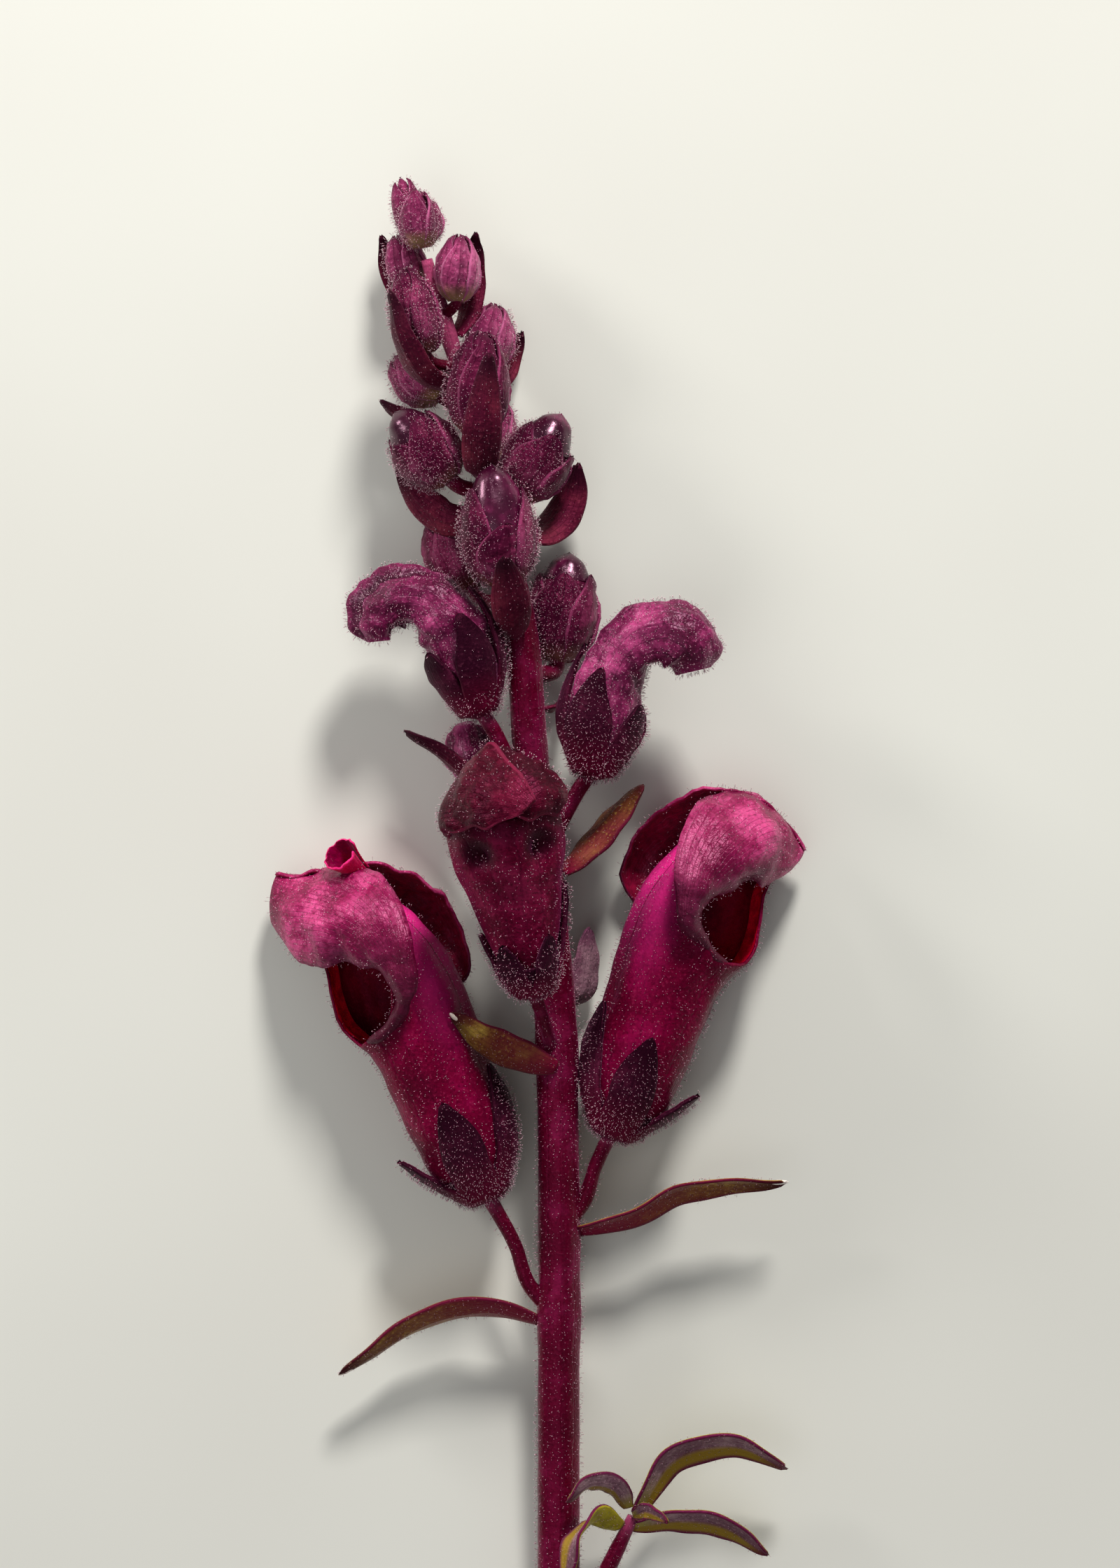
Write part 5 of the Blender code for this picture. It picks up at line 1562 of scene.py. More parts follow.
@dataclass
class HookedFlower:
    """A young closed flower whose head bends over like a hook, wrapped in its calyx.

    A seam is given by its turn in radians, its start and end along the axis, and its depth.
    """

    SEAMS = ((0.3, 0.45, 0.98, 0.55), (-0.5, 0.55, 0.95, 0.4), (1.1, 0.62, 1.0, 0.3))
    name: str
    axis: Sequence[Row]
    radii: Sequence[Row]
    outward: Row
    rows: int = 90
    sides: int = 72
    sepal_reach: float = 0.5
    sepal_shares: Row = (1.0, 0.9, 0.66, 0.66, 0.9)
    seed: int = 21

    def seams(self, along: np.ndarray, angle: np.ndarray) -> tuple[np.ndarray, np.ndarray]:
        """Give the steps where one folded lobe lies over the next, and the painted shade in the grooves
        beside them.

        Args:
            along: Places along the axis, by row.
            angle: Angles from the outward side, by row and column.

        Returns:
            How far the surface stands off, in millimetres, and how much painted shade it takes.
        """
        step = np.zeros_like(angle)
        groove = np.zeros_like(angle)
        for turn, start, end, depth in self.SEAMS:
            line = turn + 0.9 * np.sin(3.0 * along + turn)
            across = np.sin(angle) - np.sin(line) * (0.6 + 0.4 * np.cos(angle))
            cover = smooth(along, start, start + 0.12) * (1.0 - smooth(along, end - 0.06, end + 0.02))
            step += 1.6 * depth * (smooth(across, -0.05, 0.05) - 0.5) * cover
            groove += hump(across, -0.05, 0.05) * cover
        return step, np.clip(groove, 0.0, 1.0)

    def make(self, dresser: Dresser) -> None:
        """Make the petals and the calyx.

        Args:
            dresser: Finishes the piece.
        """
        body = Body(self.axis, self.radii, self.outward, level=True)
        along = eased(self.rows)
        angle = around(self.sides) + 0.0 * along[:, None]
        lift, groove = self.seams(along[:, None], angle)
        lift = lift + 0.16 * np.cos(9.0 * angle) * smooth(along, 0.3, 0.6)[:, None] * (1.0 - along[:, None])
        grid = body.points(along, angle, lift)
        out = unit(grid - through(body.path, along)[:, None, :3])
        creases = 0.28 * ripples(grid, 4.2, self.seed) + 0.1 * ripples(grid, 1.9, self.seed + 1)
        grid = grid + creases[..., None] * out
        skin = Skin()
        # Painted shade darkens the grooves beside the seams.
        skin.rings(grid, body.centre(0.0), body.centre(1.0), dark=0.85 * groove)
        dresser.finish(skin, f"{self.name}_petals", self.name, "petal", (HOOK_SKIN,), HOOK_COAT)

        start = body.centre(0.0)
        tangent = unit(np.asarray(self.axis[1], float) - start)
        wide = self.radii[0][0]
        axis = [*(start - back * tangent for back in (2.0, 1.6, 0.9)), *self.axis]
        radii = [(0.5, 0.5), (0.5 * wide, 0.5 * wide), (0.8 * wide, 0.8 * wide), *self.radii]
        longer = Body(axis, radii, self.outward, level=True)
        foot = 2.0 / (path_length(self.axis) + 2.0)

        def place(height: np.ndarray, angle: np.ndarray, lift: np.ndarray) -> np.ndarray:
            """Put calyx points on the body and round its foot."""
            height, angle, lift = np.broadcast_arrays(height, angle, lift)
            return longer.points(foot + (1.0 - foot) * height[:, 0], angle, lift + 0.25)

        wrapped = Skin()
        Calyx(place, start - 2.2 * tangent, [self.sepal_reach * part for part in self.sepal_shares],
              [0.1] * 5, start=-0.7 * foot, cup=0.06, broad=0.95, seed=self.seed).add_to(wrapped)
        dresser.finish(wrapped, f"{self.name}_sepals", f"calyx_{self.name}", "sepal", (SEPAL_SKIN,),
                       HOOK_CALYX_COAT)


@dataclass
class Bud:
    """A bud wrapped in overlapping sepals, the larger ones with glossy petals at the end."""

    SUNK = 0.45
    ROOT = 0.02
    PETAL_ROWS = 26
    PETAL_SIDES = 36

    name: str
    base: Row
    tip: Row
    radius: float
    outward: Row
    petals_from: float = 1.0
    front_share: float = 1.0
    young: bool = False
    sepals: int = 5
    overlap: float = 1.42
    thick: float = 0.4
    rows: int = 26
    columns: int = 14
    seed: int = 31

    def make(self, dresser: Dresser) -> None:
        """Make the bud and what shows of its petals.

        Args:
            dresser: Finishes the piece.
        """
        body = egg(self.base, self.tip, self.radius, self.outward)
        skin = Skin()
        showing = self.petals_from * self.front_share
        add_body(skin, body, 22, 26, lift=-self.SUNK, hair=0.2, end=min(showing + 0.03, 0.97))
        turn = FULL_TURN / self.sepals
        draw = np.random.default_rng(self.seed)
        u, v = lattice(self.rows, self.columns)
        for index in range(self.sepals):
            reach = (showing if index == 0 else self.petals_from) * draw.uniform(0.97, 1.05)
            width = 0.5 * turn * self.overlap * (0.75 + 0.25 * smooth(u, 0.0, 0.3))
            width = width * (1.0 - smooth(u, 0.5, 1.04)) ** 0.5
            width[-1] = 0.0
            along = self.ROOT + (min(reach, 0.995) - self.ROOT) * u[:, 0]
            under = -0.36 * v * np.sin(math.pi * np.clip(u * 1.15, 0.0, 1.0)) ** 0.5
            ridge = 0.14 * (1.0 - v ** 2) * np.sin(math.pi * u) ** 0.7
            lift = under + ridge - 0.12 + 0.16 * smooth(u, 0.75, 1.0) * (self.petals_from < 1.0)
            angle = index * turn + width * v + 0.25 * u
            grid = crumple(body.points(along, angle, lift), 0.09, 1.6, self.seed + index)
            # Painted shade darkens each sepal along its midrib, above its foot.
            skin.sheet(grid, self.thick, inner_hair=0.1, heart=body.points(along, angle, lift - 1.5),
                       dark=0.6 * hump(v, 0.0, 0.12) * smooth(u, 0.0, 0.2))
        finish = YOUNG_SKIN if self.young else BUD_SKIN
        dresser.finish(skin, f"{self.name}_sepals", self.name, "bud", (finish,), BUD_COAT)
        if self.petals_from < 1.0:
            self.make_petals(dresser, body)

    def make_petals(self, dresser: Dresser, body: Body) -> None:
        """Make the glossy end of the folded petals.

        Args:
            dresser: Finishes the piece.
            body: The bud's Body.
        """
        showing = self.petals_from * self.front_share - 0.06
        along = showing + (1.0 - showing) * eased(self.PETAL_ROWS)
        angle = around(self.PETAL_SIDES) + 0.0 * along[:, None]
        twist = angle + 4.0 * (along[:, None] - self.petals_from)
        fold = 0.22 * np.abs(np.sin(1.5 * twist)) ** 0.6 - 0.5
        grid = body.points(along, angle, fold)
        skin = Skin()
        ahead = unit(grid[-1].mean(axis=0) - grid[0].mean(axis=0))
        skin.rings(grid, body.centre(along[0]), body.centre(1.0) + 0.1 * ahead)
        dresser.finish(skin, f"{self.name}_folded_petals", f"petals_{self.name}", "petal", (GLOSSY_SKIN,),
                       GLOSSY_COAT)


@dataclass
class Blade:
    """A bract or leaf along a midrib, folded a little, with a groove and veins."""

    name: str
    route: Sequence[Row]
    across: Row
    width: float
    fold: float
    slot: str = "bract"
    finish: PlantSkin = BRACT_SKIN
    pale_tip: bool = False
    rooted: float = 0.9
    thick: float = 0.4
    rows: int = 40
    columns: int = 17
    seed: int = 41

    def make(self, dresser: Dresser) -> None:
        """Make the blade.

        Args:
            dresser: Finishes the piece.
        """
        u = np.linspace(0.0, 1.0, self.rows)
        root = np.asarray(self.route[0], float)
        root = root + self.rooted * unit(root - np.asarray(self.route[1], float))
        route = [root, *self.route]
        near = through(route, u)
        tangent = unit(through(route, u + AXIS_STEP) - through(route, u - AXIS_STEP))
        across = unit(self.across)
        side = unit(across - (tangent @ across)[:, None] * tangent)
        face = np.cross(tangent, side)
        half = 0.5 * self.width * (0.12 + 0.88 * np.sin(math.pi * (0.08 + 0.92 * u)) ** 0.8)
        half[-1] = 0.0
        half, place = half[:, None, None], u[:, None, None]
        share = np.linspace(-1.0, 1.0, self.columns)[None, :, None]
        groove = -0.16 * hump(share, 0.0, 0.16) * np.sin(math.pi * place)
        wave = 0.12 * share ** 2 * np.sin(place * 21.0 + self.seed)
        raised = self.fold * half / self.width * 2.0 * share ** 2
        grid = near[:, None] + side[:, None] * half * share + face[:, None] * (raised + groove + wave)
        skin = Skin()
        skin.sheet(grid, self.thick, inner_hair=0.8, hair=0.8, heart=grid - TOP)
        if self.pale_tip:
            tip, before = grid[-1, 0], grid[-4, self.columns // 2]
            add_egg(skin, before, tip + 0.25 * unit(tip - before), 0.3, TOP, slot=1)
        dresser.finish(skin, f"{self.name}_blade", self.name, self.slot, (self.finish, PALE_SKIN),
                       BLADE_COAT)


@dataclass
class GrowingTip:
    """The growing tip: tiny leaves and buds packed together."""

    eggs: Sequence[tuple[Row, Row, float, Row]] = (
        ((-13.9, 83.0, 9.0), (-15.2, 90.0, 9.2), 2.2, (-0.4, 0.0, 1.0)),
        ((-14.6, 84.0, 8.8), (-16.7, 91.7, 8.4), 1.6, (-1.0, 0.0, 0.0)),
        ((-13.5, 84.0, 8.6), (-13.1, 88.8, 8.2), 1.6, (1.0, 0.0, 0.0)),
        ((-14.2, 83.4, 10.4), (-14.8, 90.1, 11.4), 1.7, (0.0, 0.0, 1.0)),
    )
    rows: int = 22
    columns: int = 12

    def make(self, dresser: Dresser) -> None:
        """Make the tip.

        Args:
            dresser: Finishes the piece.
        """
        skin = Skin()
        u, v = lattice(self.rows, self.columns)
        for number, (base, tip, radius, outward) in enumerate(self.eggs):
            body = egg(base, tip, radius, outward)
            add_body(skin, body, 18, 20, lift=-0.35, hair=0.3)
            leaves = 3 if number else 5
            turn = FULL_TURN / leaves
            for index in range(leaves):
                width = 0.5 * turn * 1.3 * (1.0 - smooth(u, 0.35, 1.05)) ** 0.55
                width[-1] = 0.0
                lift = -0.2 * v * np.sin(math.pi * u) + 0.1 + 0.1 * (1.0 - v ** 2)
                angle = index * turn + 0.6 * number + width * v
                grid = body.points(0.02 + (0.9 + 0.03 * index) * u[:, 0], angle, lift)
                skin.sheet(grid, 0.3, heart=np.broadcast_to(body.centre(0.5), grid.shape))
        dresser.finish(skin, "growing_tip_leaves", "growing_tip", "bud", (YOUNG_SKIN,), TIP_COAT)


@dataclass
class MainStem:
    """The stem with the stalks of its flowers, buds and side shoot."""

    STATIONS = 40
    KNOT_SWELL = 0.22
    KNOT_HALF = 2.2
    STALK_FLARE = 0.7
    CUT_RADII = ((2.1, 2.1), (2.15, 2.15), (2.1, 2.1))
    CUT_BACK = 0.06
    CUT_DEEP = 0.4

    axis: Sequence[Row]
    stalks: Sequence[Sequence[Row]]
    knots: Sequence[float]
    rows: int = 240
    sides: int = 48
    stalk_rows: int = 34
    stalk_sides: int = 18
    ribs: int = 5

    def make(self, dresser: Dresser) -> None:
        """Make the stem.

        Args:
            dresser: Finishes the piece.
        """
        skin = Skin()
        path = through(self.axis, np.linspace(0.0, 1.0, self.STATIONS))
        for knot in self.knots:
            path[:, 3] += self.KNOT_SWELL * hump(path[:, 1], knot, self.KNOT_HALF)
        add_rod(skin, path, self.rows, self.sides, ribs=self.ribs)
        for stalk in self.stalks:
            add_rod(skin, stalk, self.stalk_rows, self.stalk_sides, root_flare=self.STALK_FLARE)
        end = np.asarray(self.axis[0][:3], float)
        ahead = unit(np.asarray(self.axis[1][:3], float) - end)
        cut = Body((end - self.CUT_BACK * ahead, end, end + self.CUT_DEEP * ahead), self.CUT_RADII,
                   (1.0, 0.0, 0.0))
        add_body(skin, cut, 6, 30, slot=1, hair=0.0)
        dresser.finish(skin, "main_stem", "stem", "stem", (STEM_SKIN, PithFinish()), STEM_COAT)


class LightKind(Enum):
    """What a light is for."""

    KEY = "key"
    FILL = "fill"
    RIM = "rim"


@dataclass(frozen=True)
class SoftLight:
    """A large soft light aimed at the stem."""

    kind: LightKind
    place: Row
    size: float
    power: float
    tint: Colour = (1.0, 1.0, 1.0)
    aim: Row = (0.0, 0.01, 0.01)

    def make(self) -> None:
        """Hang the light."""
        name = f"{self.kind.value}_light"
        light = bpy.data.lights.new(name, "AREA")
        light.shape = "DISK"
        light.size = self.size
        light.energy = self.power
        light.color = self.tint
        made = linked(name, light)
        towards = Vector(self.aim) - Vector(self.place)
        made.rotation_euler = towards.to_track_quat("-Z", "Y").to_euler()
        made.location = self.place


@dataclass(frozen=True)
class Studio:
    """The pale surface, the camera straight above it and the lights, in metres, the sensor in millimetres."""

    AIR = (0.95, 0.97, 1.0, 1.0)
    CLIP_END = 10.0

    middle: Row = (0.00272, 0.01794)
    picture_height: float = 0.1904
    sharpest: float = 0.009
    distance: float = 0.9
    sensor: float = 36.0
    floor_half: float = 1.6
    lights: Sequence[SoftLight] = field(default_factory=lambda: (
        SoftLight(LightKind.KEY, (0.14, 0.66, 0.44), 0.16, 7.4, (1.0, 0.98, 0.95)),
        SoftLight(LightKind.FILL, (-0.25, -0.2, 0.8), 0.7, 1.2, (0.97, 0.98, 1.0)),
        SoftLight(LightKind.RIM, (-0.45, 0.35, 0.22), 0.16, 1.8, (1.0, 0.98, 0.95)),
    ))
    sky: float = 0.25

    def make(self, dresser: Dresser) -> None:
        """Set the studio up.

        Args:
            dresser: Finishes the piece.
        """
        mesh = bpy.data.meshes.new("surface")
        half = self.floor_half
        mesh.from_pydata([(-half, -half, 0.0), (half, -half, 0.0), (half, half, 0.0), (-half, half, 0.0)],
                         [], [(0, 1, 2, 3)])
        mesh.materials.append(dresser.wardrobe.take(FloorFinish()))
        linked("surface", mesh)
        bpy.context.scene.view_settings.view_transform = "Standard"
        world = bpy.data.worlds.new("studio_air")
        world.use_nodes = True
        air = world.node_tree.nodes["Background"].inputs
        air["Color"].default_value = self.AIR
        air["Strength"].default_value = self.sky
        bpy.context.scene.world = world
        for light in self.lights:
            light.make()
        camera = bpy.data.cameras.new("camera")
        camera.sensor_width = self.sensor
        camera.lens = self.sensor * self.distance / self.picture_height
        camera.clip_end = self.CLIP_END
        holder = linked("camera", camera)
        holder.location = (*self.middle, self.sharpest + self.distance)
        bpy.context.scene.camera = holder


STEM_AXIS = (
    (2.5, -91.5, 2.6, 2.6),
    (2.5, -60.0, 5.0, 2.55),
    (2.5, -30.0, 7.2, 2.5),
    (2.0, -8.6, 8.4, 2.45),
    (0.6, 6.9, 8.9, 2.3),
    (-1.0, 23.0, 9.0, 2.1),
    (-2.0, 35.7, 9.0, 1.9),
    (-3.9, 46.8, 9.0, 1.5),
    (-6.6, 57.7, 9.0, 1.1),
    (-9.0, 66.4, 9.0, 0.95),
    (-11.6, 74.9, 9.0, 0.8),
    (-13.5, 81.6, 9.0, 0.7),
)
BUDS = {
    "bud_01": ((-14.9, 78.4, 6.9), (-17.3, 84.6, 6.9), 2.15, (-1.0, 0.0, -0.3)),
    "bud_02": ((-9.8, 76.4, 10.2), (-9.5, 84.5, 10.8), 2.5, (1.0, 0.0, 0.3)),
    "bud_03": ((-13.4, 69.9, 12.2), (-16.2, 80.2, 13.2), 2.75, (-0.7, 0.0, 0.9)),
    "bud_04": ((-6.2, 68.3, 6.6), (-5.3, 76.4, 5.8), 2.7, (0.7, 0.0, -0.7)),
    "bud_05": ((-7.3, 59.8, 13.2), (-6.8, 72.6, 14.2), 3.5, (0.1, 0.0, 1.0)),
    "bud_06": ((-11.8, 64.9, 7.4), (-17.6, 69.6, 6.4), 2.8, (-0.7, 0.0, -0.6)),
    "bud_07": ((-10.4, 54.8, 10.2), (-17.3, 63.0, 11.0), 3.9, (-0.9, 0.3, 0.3)),
    "bud_08": ((-2.4, 52.6, 10.0), (2.9, 62.8, 10.8), 3.9, (1.0, 0.3, 0.3)),
    "bud_09": ((-5.2, 57.2, 5.6), (-4.2, 64.6, 4.2), 1.8, (0.5, 0.0, -0.9)),
    "bud_10": ((-4.0, 41.8, 14.8), (-5.5, 56.4, 16.6), 4.2, (0.0, 0.1, 1.0)),
    "bud_11": ((-8.0, 41.6, 3.9), (-12.9, 50.2, 2.5), 3.2, (-0.7, 0.0, -0.7)),
    "bud_12": ((2.4, 32.8, 4.9), (3.9, 46.2, 3.9), 4.15, (0.8, 0.0, -0.6)),
}
BUDS_WITH_PETALS = ("bud_07", "bud_08", "bud_10", "bud_12")
HOOKED = {
    "hook_left": (
        ((-7.4, 27.8, 11.9), (-8.5, 32.0, 12.2), (-10.6, 37.2, 12.4), (-14.2, 40.3, 12.4),
         (-17.6, 40.0, 12.4), (-19.4, 37.8, 12.4), (-19.2, 35.2, 12.3)),
        ((2.0, 2.0), (3.7, 3.5), (3.8, 3.7), (3.5, 3.6), (3.6, 3.6), (3.1, 3.1), (1.2, 1.3)),
        (-1.0, 0.0, 0.0),
    ),
    "hook_right": (
        ((6.9, 20.4, 11.9), (7.6, 25.0, 12.0), (9.0, 30.7, 12.2), (12.2, 35.0, 12.2),
         (16.0, 35.6, 12.2), (18.4, 33.9, 12.2), (19.0, 31.6, 12.2)),
        ((2.3, 2.3), (4.3, 4.0), (3.9, 3.9), (3.6, 3.8), (3.7, 3.7), (3.4, 3.4), (2.0, 2.2)),
        (1.0, 0.0, 0.0),
    ),
    "hook_rear": (
        ((-1.8, 4.0, 3.7), (-3.6, 10.4, 3.6), (-6.2, 17.6, 3.5), (-8.6, 22.6, 3.7), (-9.2, 25.2, 4.4)),
        ((1.6, 1.6), (2.7, 2.4), (3.2, 3.0), (2.8, 2.8), (1.0, 1.0)),
        (-1.0, 0.0, -0.2),
    ),
}
BRACTS = {
    "bract_left": (((-0.8, -47.4, 6.2), (-5.5, -46.2, 6.6), (-11.0, -46.8, 6.8), (-24.1, -54.1, 5.4)),
                   (0.1, 0.5, 0.87), 5.4, 0.7),
    "bract_right": (((5.8, -36.0, 7.0), (10.2, -35.0, 7.2), (17.0, -31.6, 7.4), (30.3, -30.5, 7.0)),
                    (-0.1, 0.5, 0.87), 5.0, 0.7),
    "bract_front": (((1.4, -16.4, 11.2), (-2.2, -15.2, 12.6), (-6.3, -13.2, 13.8), (-10.4, -9.8, 14.6)),
                    (0.2, 0.75, 0.5), 4.8, 0.8),
    "bract_rear": (((3.4, -8.8, 5.1), (5.4, -7.4, 4.4), (6.0, -4.6, 4.4), (6.2, 0.4, 4.8)),
                   (0.7, 0.1, -0.6), 4.4, 0.4),
    "bract_hook_left": (((-3.2, 10.8, 9.0), (-6.4, 15.2, 9.7), (-9.6, 19.7, 9.8), (-16.2, 24.4, 9.2)),
                        (0.3, 0.45, 0.8), 3.6, 0.6),
    "bract_hook_right": (((3.6, 8.0, 9.2), (6.2, 10.8, 9.4), (9.4, 14.4, 9.6), (12.8, 17.8, 9.6)),
                         (0.45, -0.4, 0.75), 4.8, 0.8),
    "bract_bud_12": (((0.9, 27.2, 7.4), (2.2, 27.4, 6.6), (3.2, 28.6, 5.6), (3.9, 30.4, 4.6)),
                     (0.5, 0.2, 0.8), 2.8, 0.3),
    "bract_bud_11": (((-4.5, 35.4, 7.4), (-6.4, 36.0, 5.2), (-7.9, 37.0, 3.2), (-9.4, 39.4, 1.4)),
                     (-0.1, 0.9, 0.3), 3.4, 0.4),
    "bract_bud_10": (((-2.8, 36.0, 11.7), (-2.9, 37.0, 13.9), (-3.2, 39.8, 17.0), (-4.0, 45.2, 20.6)),
                     (1.0, 0.1, 0.0), 4.6, 0.9),
    "bract_bud_09": (((-5.0, 54.6, 7.4), (-4.6, 55.2, 5.4), (-4.2, 57.2, 3.4), (-3.8, 60.6, 2.2)),
                     (1.0, 0.0, 0.1), 3.0, 0.4),
    "bract_bud_08": (((-1.4, 48.2, 9.0), (1.2, 49.0, 7.2), (3.6, 52.0, 5.8), (5.0, 57.0, 5.8)),
                     (0.9, -0.35, 0.25), 4.6, 0.8),
    "bract_bud_07": (((-8.0, 50.0, 8.2), (-11.4, 50.2, 6.8), (-14.4, 52.6, 5.8), (-17.1, 56.8, 5.4)),
                     (0.5, 0.75, 0.35), 4.4, 0.7),
    "bract_bud_06": (((-11.2, 61.2, 7.6), (-13.6, 61.4, 6.6), (-16.2, 62.4, 5.6), (-19.2, 64.6, 5.0)),
                     (0.1, 0.6, 0.7), 3.2, 0.5),
    "bract_bud_05": (((-6.6, 55.2, 10.8), (-6.8, 55.8, 13.4), (-6.6, 60.2, 17.8), (-5.8, 69.6, 19.2)),
                     (1.0, 0.1, 0.0), 4.6, 0.8),
    "bract_bud_04": (((-7.8, 64.2, 7.4), (-6.0, 66.0, 5.4), (-3.6, 69.4, 2.9), (-1.9, 73.2, 3.2)),
                     (0.9, -0.2, 0.3), 3.4, 0.5),
    "bract_bud_03": (((-10.7, 65.8, 10.8), (-13.4, 66.8, 13.4), (-15.9, 70.4, 16.0), (-17.8, 77.4, 16.6)),
                     (0.5, 0.3, 0.6), 4.0, 0.7),
    "bract_bud_02": (((-9.4, 73.2, 8.2), (-8.4, 75.4, 7.3), (-8.0, 79.4, 6.9), (-7.5, 84.9, 9.2)),
                     (0.95, 0.1, 0.3), 3.2, 0.5),
    "bract_bud_01": (((-13.6, 75.8, 8.0), (-15.2, 76.8, 5.4), (-17.4, 79.6, 3.9), (-19.1, 84.8, 5.0)),
                     (0.9, 0.3, -0.1), 3.2, 0.4),
}
SHOOT_AXIS = (
    (3.4, -87.4, 3.6, 1.0), (7.4, -80.0, 4.4, 1.0), (10.2, -74.4, 4.8, 0.9), (11.6, -71.4, 5.2, 0.7),
)
SHOOT_LEAVES = {
    "leaf_upper_right": (((12.5, -70.2, 5.4), (16.3, -64.2, 6.6), (24.1, -62.4, 6.8), (30.4, -65.6, 5.2)),
                         (-0.3, 0.7, 0.65), 4.6, 0.6),
    "leaf_upper_left": (((10.7, -69.6, 5.8), (9.4, -67.6, 7.4), (6.6, -67.0, 8.6), (3.6, -69.3, 8.8)),
                        (0.2, 0.7, 0.65), 3.2, 0.4),
    "leaf_centre": (((12.2, -70.9, 6.6), (13.2, -70.4, 8.2), (14.6, -70.8, 9.6), (15.8, -71.6, 10.2)),
                    (0.0, 0.9, 0.3), 2.0, 0.2),
    "leaf_lower_right": (((12.4, -72.4, 4.8), (17.2, -71.6, 5.2), (22.6, -72.4, 5.0), (28.1, -76.2, 3.6)),
                         (0.1, 0.7, 0.7), 4.2, 0.5),
    "leaf_lower_left": (((9.4, -72.4, 6.0), (7.2, -71.2, 8.2), (4.8, -73.4, 9.8), (3.4, -79.4, 10.6)),
                        (0.6, 0.6, 0.5), 4.2, 0.5),
}
PALE_TIPS = ("bract_left", "bract_right", "bract_front")
YOUNG_BUDS = ("bud_01", "bud_02", "bud_04", "bud_06", "bud_09")
BRONZE_BRACTS = ("bract_left", "bract_right", "bract_front", "bract_hook_right")
PETALS_FROM = 0.8
FRONT_SHARES = {"bud_10": 0.68, "bud_08": 0.85, "bud_07": 0.9}
ROOTED = 0.8
BUD_STALK_SHARE = 0.24
BUD_STALK_DROP = 1.6
HOOK_SEED = 21
HOOK_SEED_STEP = 7
BUD_SEED = 101
BUD_SEED_STEP = 9
LEAF_SEED = 60
LEFT = FlowerFrame((-6.06, -30.5, 8.3), math.radians(-22.5), -1.0, math.radians(24.0))
RIGHT = FlowerFrame((8.84, -22.9, 8.3), math.radians(20.1), 1.0, math.radians(24.0))
FRONT = FlowerFrame((-0.8, -5.5, 17.2), math.radians(-10.0), 1.0, math.radians(-88.0), rise=0.12)


def stalk_paths() -> list[list[Row]]:
    """List the stalks that grow from the main stem.

    Returns:
        The x, y, z and radius stations of each stalk from its root.
    """
    foot_left = LEFT.place(-1.2, 0.7, 0.0)
    foot_right = RIGHT.place(-1.2, 0.7, 0.0)
    foot_front = FRONT.place(-1.2, 0.4, 0.0)
    paths = [
        [(1.8, -46.0, 6.2, 0.95), (-0.9, -43.2, 6.9, 0.9), (-2.8, -38.0, 7.6, 0.85), (*foot_left, 0.95)],
        [(3.4, -35.6, 6.8, 0.95), (5.8, -32.4, 7.2, 0.95), (7.0, -28.6, 7.7, 0.85), (*foot_right, 0.95)],
        [(1.8, -14.0, 9.4, 0.8), (1.2, -12.0, 12.4, 0.8), (0.6, -10.2, 14.6, 0.75), (*foot_front, 0.9)],
        [(-1.0, 11.0, 9.2, 0.9), (-2.6, 17.6, 10.2, 0.95), (-4.6, 23.0, 11.2, 0.95),
         (-7.2, 27.4, 11.9, 0.95)],
        [(1.2, 9.4, 9.4, 0.9), (3.0, 13.6, 10.6, 0.95), (4.6, 16.6, 11.4, 0.95), (6.8, 19.9, 11.9, 0.95)],
        [(0.9, 0.4, 8.0, 0.9), (-0.6, -0.6, 5.4, 0.9), (-1.7, 3.4, 3.7, 0.9)],
        list(SHOOT_AXIS),
    ]
    heights = [station[1] for station in STEM_AXIS]
    for base, tip, radius, _ in BUDS.values():
        base = np.asarray(base, float)
        axis = unit(np.asarray(tip, float) - base)
        foot = base + ROOTED * axis
        thick = BUD_STALK_SHARE * radius
        root = [np.interp(base[1] - BUD_STALK_DROP, heights, values) for values in (*zip(*STEM_AXIS),)[:3]]
        neck = foot - 1.2 * thick * axis
        paths.append([(*root, thick), (*neck, thick), (*foot, thick)])
    return paths


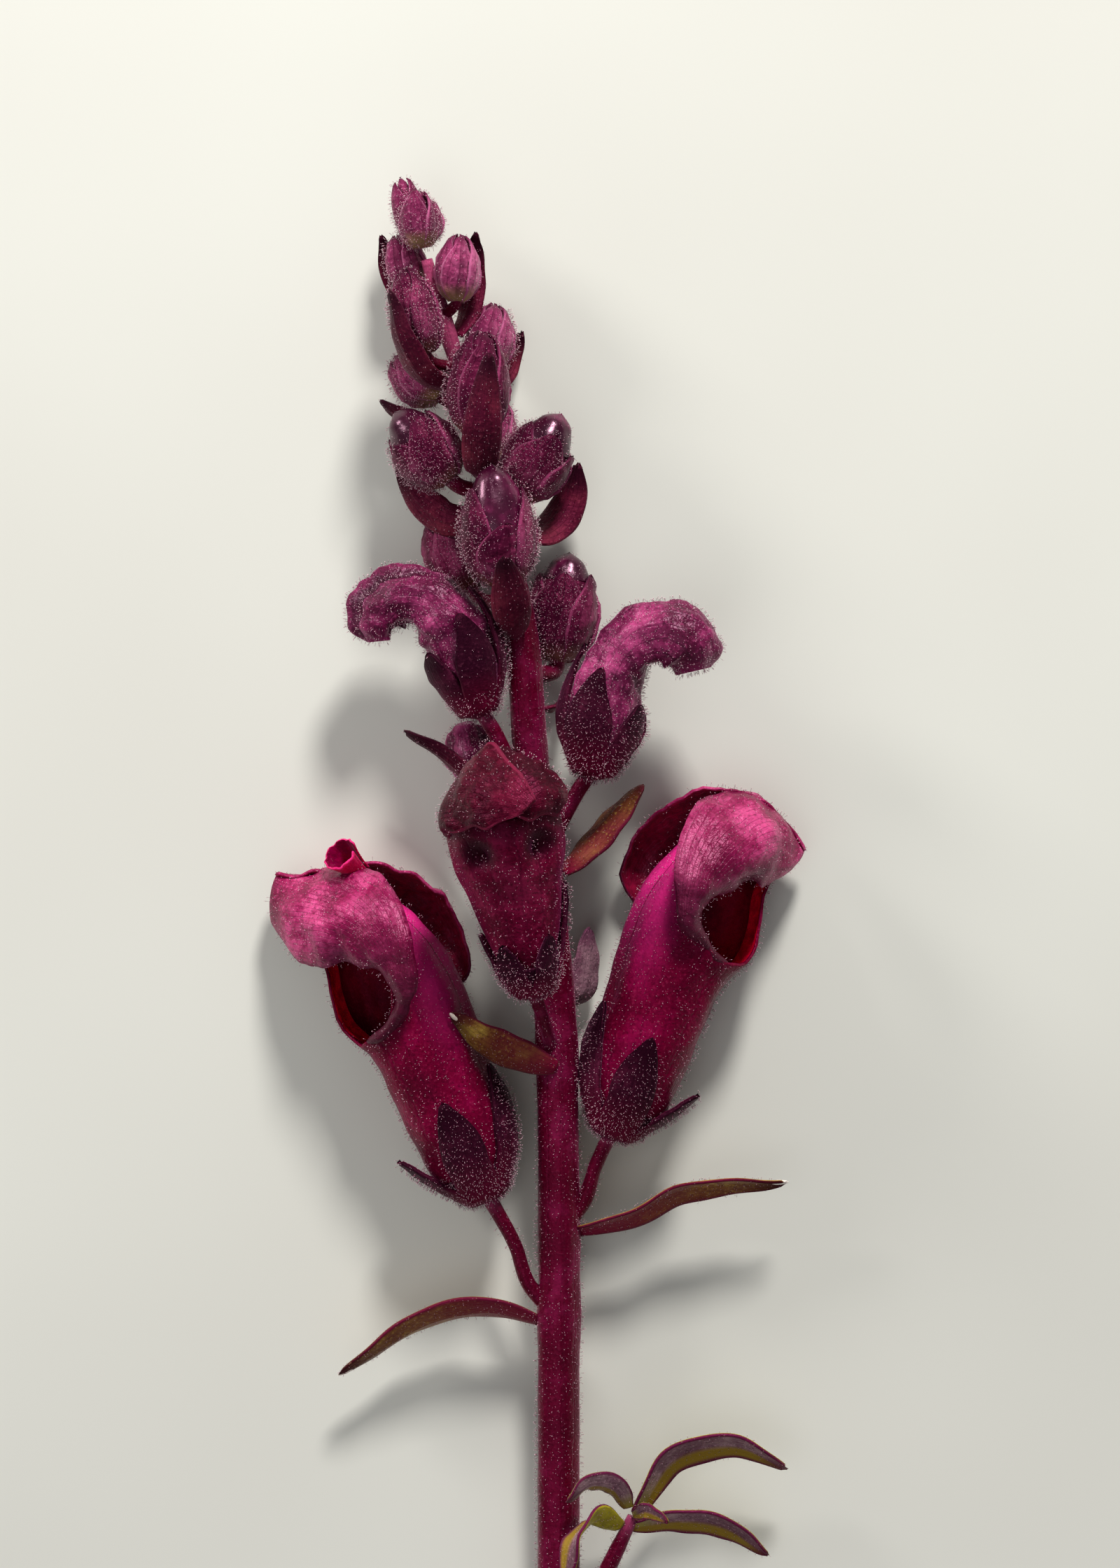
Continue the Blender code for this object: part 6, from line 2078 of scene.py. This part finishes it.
def flowers() -> list[OpenFlower]:
    """List the two open flowers and the half open one.

    Returns:
        The flowers, not made yet.
    """
    open_parts = {"sections": OPEN_TUBE, "sepals": OPEN_SEPALS, "palate": (20.4, 34.4), "reach": 26.0}
    return [
        OpenFlower("left", LEFT, rim=LEFT_RIM, lobes=(LEFT_LOBE, LEFT_LOBE), seed=11, curl=True,
                   **open_parts),
        OpenFlower("right", RIGHT, rim=RIGHT_RIM, lobes=(RIGHT_LOBE, RIGHT_LOBE), seed=57, **open_parts),
        OpenFlower("front", FRONT, sections=HALF_TUBE, rim=HALF_RIM, lobes=(HALF_LOBE_OVER, HALF_LOBE),
                   sepals=HALF_SEPALS, palate=(13.4, 19.4), reach=17.0, seed=83, lip_angle=0.0,
                   palate_sunk=0.0, pit_depth=1.8, pit_angle=36.0, palate_inner=0.9, palate_thick=1.5,
                   lobe_shade=0.8, tube_finish=FRONT_TUBE_SKIN, lobe_finish=FRONT_LOBE_SKIN),
    ]


def main() -> None:
    """Dress the whole stem and set the studio up."""
    logging.basicConfig(level=logging.INFO, format="%(message)s")
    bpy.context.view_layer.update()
    dresser = Dresser()
    Studio().make(dresser)
    knots = [route[0][1] for route, _, _, _ in BRACTS.values()]
    MainStem(STEM_AXIS, stalk_paths(), knots).make(dresser)
    for flower in flowers():
        flower.make(dresser)
    for number, (name, (axis, radii, outward)) in enumerate(HOOKED.items()):
        HookedFlower(name, axis, radii, outward, seed=HOOK_SEED + HOOK_SEED_STEP * number).make(dresser)
    for number, (name, (base, tip, radius, outward)) in enumerate(BUDS.items()):
        Bud(name, base, tip, radius, outward, seed=BUD_SEED + BUD_SEED_STEP * number,
            young=name in YOUNG_BUDS, front_share=FRONT_SHARES.get(name, 1.0),
            petals_from=PETALS_FROM if name in BUDS_WITH_PETALS else 1.0).make(dresser)
    GrowingTip().make(dresser)
    for number, (name, (route, across, width, fold)) in enumerate(BRACTS.items()):
        finish = BRONZE_SKIN if name in BRONZE_BRACTS else GREY_SKIN if name == "bract_rear" else BRACT_SKIN
        Blade(name, route, across, width, fold, pale_tip=name in PALE_TIPS, finish=finish,
              seed=number).make(dresser)
    for number, (name, (route, across, width, fold)) in enumerate(SHOOT_LEAVES.items()):
        Blade(name, route, across, width, fold, slot="leaf", finish=LEAF_SKIN,
              seed=LEAF_SEED + number).make(dresser)
    dresser.grower.put_away()
    LOG.info("pieces hold %d faces without hairs", dresser.faces)


if __name__ == "__main__":
    main()
